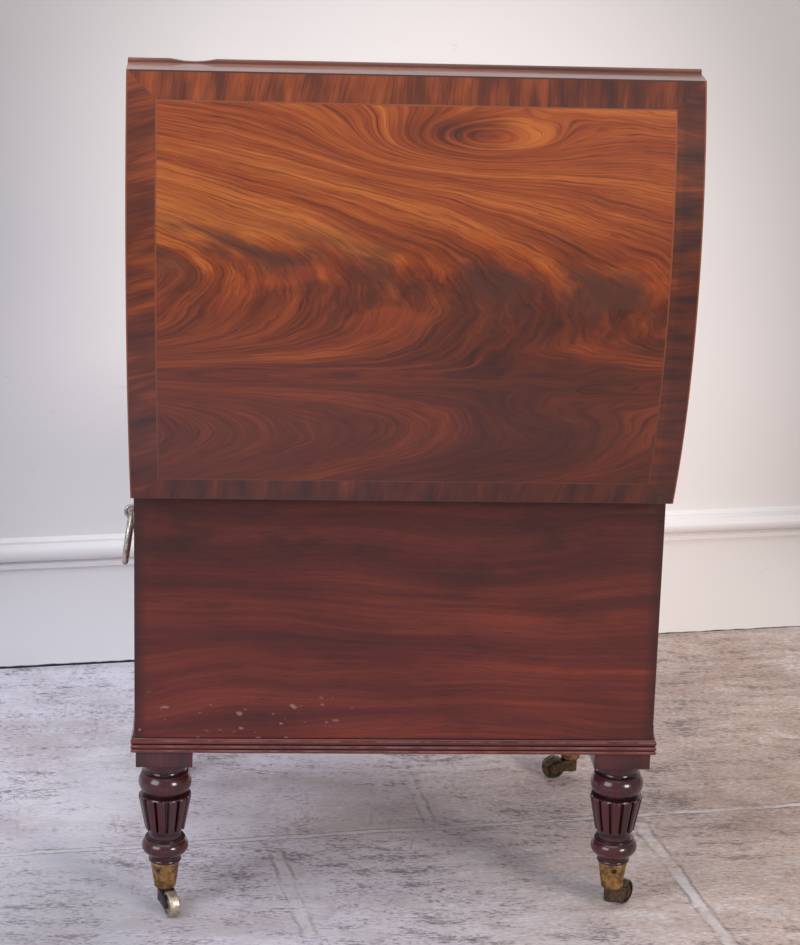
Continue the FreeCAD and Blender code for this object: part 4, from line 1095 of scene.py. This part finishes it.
class SetStage(Piece):
    """Lay the floor and the wall, and set the lamps and the camera"""

    bl_idname = "cellarette.set_stage"
    bl_label = "Set stage"

    def make(self, s):
        stage = s.stage
        self.sweep(stage)
        self.lamps(stage)
        camera = bpy.data.cameras.new("camera")
        camera.sensor_fit = "HORIZONTAL"
        camera.sensor_width = SENSOR
        camera.lens = FOCAL / PICTURE_WIDTH * SENSOR
        eye = put("camera", camera)
        eye.matrix_world = eye_matrix()
        bpy.context.scene.camera = eye
        bpy.context.scene.view_settings.view_transform = "Standard"

    def sweep(self, stage):
        """A flagged floor and a wall with its skirting."""
        along = (WALL_LEFT - WALL_RIGHT).normalized()
        out = Vector((-along.y, along.x))
        middle = (WALL_LEFT + WALL_RIGHT) / 2
        for name, profile, finish in (("stage_floor", FLOOR_ROWS, self.stone(stage)),
                                      ("stage_wall", WALL_ROWS, self.paint(stage))):
            bm = bmesh.new()
            rows = [[bm.verts.new((*(middle + along * reach + out * away), up))
                     for reach in (-STAGE_REACH, STAGE_REACH)] for away, up in profile]
            for low, high in zip(rows, rows[1:]):
                bm.faces.new((high[0], high[1], low[1], low[0]))
            add_object(name, bm, finish, angle=40.0)

    def stone(self, stage):
        """Riven flagstones, with painted warm light on the side away from the window, painted shade out in
        the room and pale mortar in their joints.
        """
        m = Material("flagstone", stage.floor)
        x, y, _ = m.axes()
        wobble = (m.noise(m.position, scale=26.0, detail=5.0, roughness=0.65) - 0.5) * 0.016
        mortar = gap = 0.0
        for (ax, ay), (bx, by), width in JOINTS:
            size = math.hypot(bx - ax, by - ay)
            ux, uy = (bx - ax) / size, (by - ay) / size
            run = (x - ax) * ux + (y - ay) * uy
            off = abs((x - ax) * uy - (y - ay) * ux + wobble)
            ends = run.step(-0.008, 0.004) * run.step(size + 0.008, size - 0.004)
            band = off.step(width, width * 0.6) * ends
            rim = off.step(width * 0.5, width * 0.9) * off.step(width * 1.3, width) * ends
            mortar, gap = band.larger(mortar), rim.larger(gap)
        broad = m.noise(m.position, scale=4.0, detail=4.0, roughness=0.6)
        riven = m.noise_at(x * 15.0, y * 52.0 + broad * 6.0, 1.0, detail=9.0, roughness=0.70)
        fleck = m.noise_at(x * 120.0, y * 260.0, 5.0, detail=4.0, roughness=0.75)
        stain = m.noise_at(x * 3.0, y * 5.0, 12.0, detail=7.0, roughness=0.72)
        corner = (1.0 - cluster(x, 0.37, 0.17) - cluster(y, 0.25, 0.32)).step(0.0, 1.0)
        ledge = m.noise_at(x * 6.0, y * 2.6, 8.0, detail=5.0, roughness=0.60)
        worn = m.noise(m.position, scale=9.0, detail=4.0, roughness=0.7).step(0.40, 0.60)
        # Painted warm light on the side away from the window
        m.lay(((broad - 0.5) * 0.5 - x).step(-0.25, 0.55), stage.painted_warm_floor)
        shade = (broad - 0.5) * 1.4 + (riven - 0.5) * 2.1 + (fleck - 0.5) * 2.2
        m.lay((-shade).step(-0.05, 0.50) * 0.85, HOLLOW)
        m.lay(shade.step(0.05, 0.55) * 0.80, LEDGE)
        m.lay((stain + (riven - 0.5) * 0.5).step(0.46, 0.66) * 0.36, STAIN)
        # A darker grey patch round one spot on the floor
        m.lay(corner * 0.42, DARK_PATCH)
        crack = abs(ledge - 0.56).step(0.010, 0.0) * worn
        m.lay(crack * 0.14, CRACK)
        m.lay(mortar * worn * 0.70, MORTAR)
        m.lay(gap * worn * 0.42, OPEN_JOINT)
        # Painted shade over the floor out in the room
        m.lay(y.step(0.9, 2.2) * 0.62, FAR_FLOOR_SHADE)
        height = riven * 0.8 + fleck * 0.3 + ledge.step(0.54, 0.58) * 0.6 - gap * 0.5
        return m.finish(Roughness=0.88, Specular_IOR_Level=0.12, Normal=m.bump(height, 0.0022, 0.8))

    def paint(self, stage):
        """Gloss white paint with painted warm light on the side away from the window, painted shade away from
        the middle, painted light low down and painted shade in the gap at its foot; its back can be seen
        through.
        """
        m = Material("wall_paint", stage.wall)
        x, _, z = m.axes()
        patch = m.noise(m.position, scale=2.6, detail=3.0)
        # Painted warm light on the side away from the window
        m.lay(x.step(0.40, -0.50), stage.painted_warm_wall)
        # Painted shade away from the middle of the wall
        far_shade = (cluster(x, -0.03, 0.64) + cluster(z, 0.20, 0.88)).step(0.15, 1.50)
        m.lay(far_shade * 0.67 + (patch - 0.5) * 0.06, FAR_WALL_SHADE)
        m.lay(z.step(0.22, 0.02) * 0.50, LIT_SKIRTING)
        scuff = m.noise_at(x * 16.0, z * 34.0, 3.0, detail=4.0, roughness=0.7).step(0.66, 0.76)
        m.lay(scuff * 0.22, SCUFF)
        chip = m.noise_at(x * 40.0, 0.0, 6.0, detail=3.0) * 0.004
        # Painted shade in the gap at the wall's foot
        m.lay((z - chip + x.step(0.1, -0.4) * 0.0020).step(0.0052, 0.0036), FOOT_GAP_SHADE)
        clear = m.node("BsdfTransparent")
        behind = m.node("NewGeometry", output="Backfacing")
        m.feed(m.output.inputs["Surface"], m.node("MixShader", inputs={0: behind, 1: m.solid, 2: clear}))
        return m.finish(Roughness=0.42, Specular_IOR_Level=0.35)

    def lamps(self, stage):
        for name, place, aim, size, watts, tint in (
                ("ceiling_lamp", (0.2, 0.5, 3.2), (0.1, 0.2, 0.0), 3.0, stage.ceiling, (0.98, 0.98, 1.0)),
                ("window_lamp", (2.9, 2.7, 2.2), (0.0, 0.1, 0.5), 2.3, stage.window, (0.84, 0.91, 1.0)),
                ("fill_lamp", (-2.6, 3.2, 1.5), (-0.4, -0.5, 0.4), 1.2, stage.fill, (1.0, 0.90, 0.80))):
            light = bpy.data.lights.new(name, "AREA")
            light.size = size
            light.energy = watts
            light.color = tint
            lamp = put(name, light)
            lamp.location = place
            lamp.rotation_euler = (Vector(aim) - Vector(place)).to_track_quat("-Z", "Y").to_euler()
        world = bpy.data.worlds.new("studio")
        world.use_nodes = True
        ground = world.node_tree.nodes["Background"]
        ground.inputs["Color"].default_value = (*stage.sky, 1.0)
        ground.inputs["Strength"].default_value = stage.sky_strength
        bpy.context.scene.world = world


STEPS = (FinishLid, FinishCarcase, TurnLegs, FitCastors, HangHandles, FitHinges, FitLock, LineInside,
         SetStage)


class CellarettePanel(bpy.types.Panel):
    """Steps and settings of the cellarette"""

    bl_idname = "VIEW3D_PT_cellarette"
    bl_label = "Cellarette"
    bl_space_type = "VIEW_3D"
    bl_region_type = "UI"
    bl_category = "Cellarette"

    def draw(self, context):
        settings = context.scene.cellarette
        for step in STEPS:
            self.layout.operator(step.bl_idname)
        for group in GROUPS:
            box = self.layout.box()
            box.label(text=group.capitalize())
            for prop in getattr(settings, group).bl_rna.properties:
                if prop.identifier not in {"rna_type", "name"}:
                    box.prop(getattr(settings, group), prop.identifier)


CLASSES = (*GROUPS.values(), CellaretteSettings, *STEPS, CellarettePanel)


def register():
    for cls in CLASSES:
        bpy.utils.register_class(cls)
    bpy.types.Scene.cellarette = PointerProperty(type=CellaretteSettings)


def unregister():
    del bpy.types.Scene.cellarette
    for cls in reversed(CLASSES):
        bpy.utils.unregister_class(cls)


def main():
    """Register the add-on and run every step."""
    register()
    for step in STEPS:
        group, name = step.bl_idname.split(".")
        getattr(getattr(bpy.ops, group), name)()


if __name__ == "__main__":
    main()
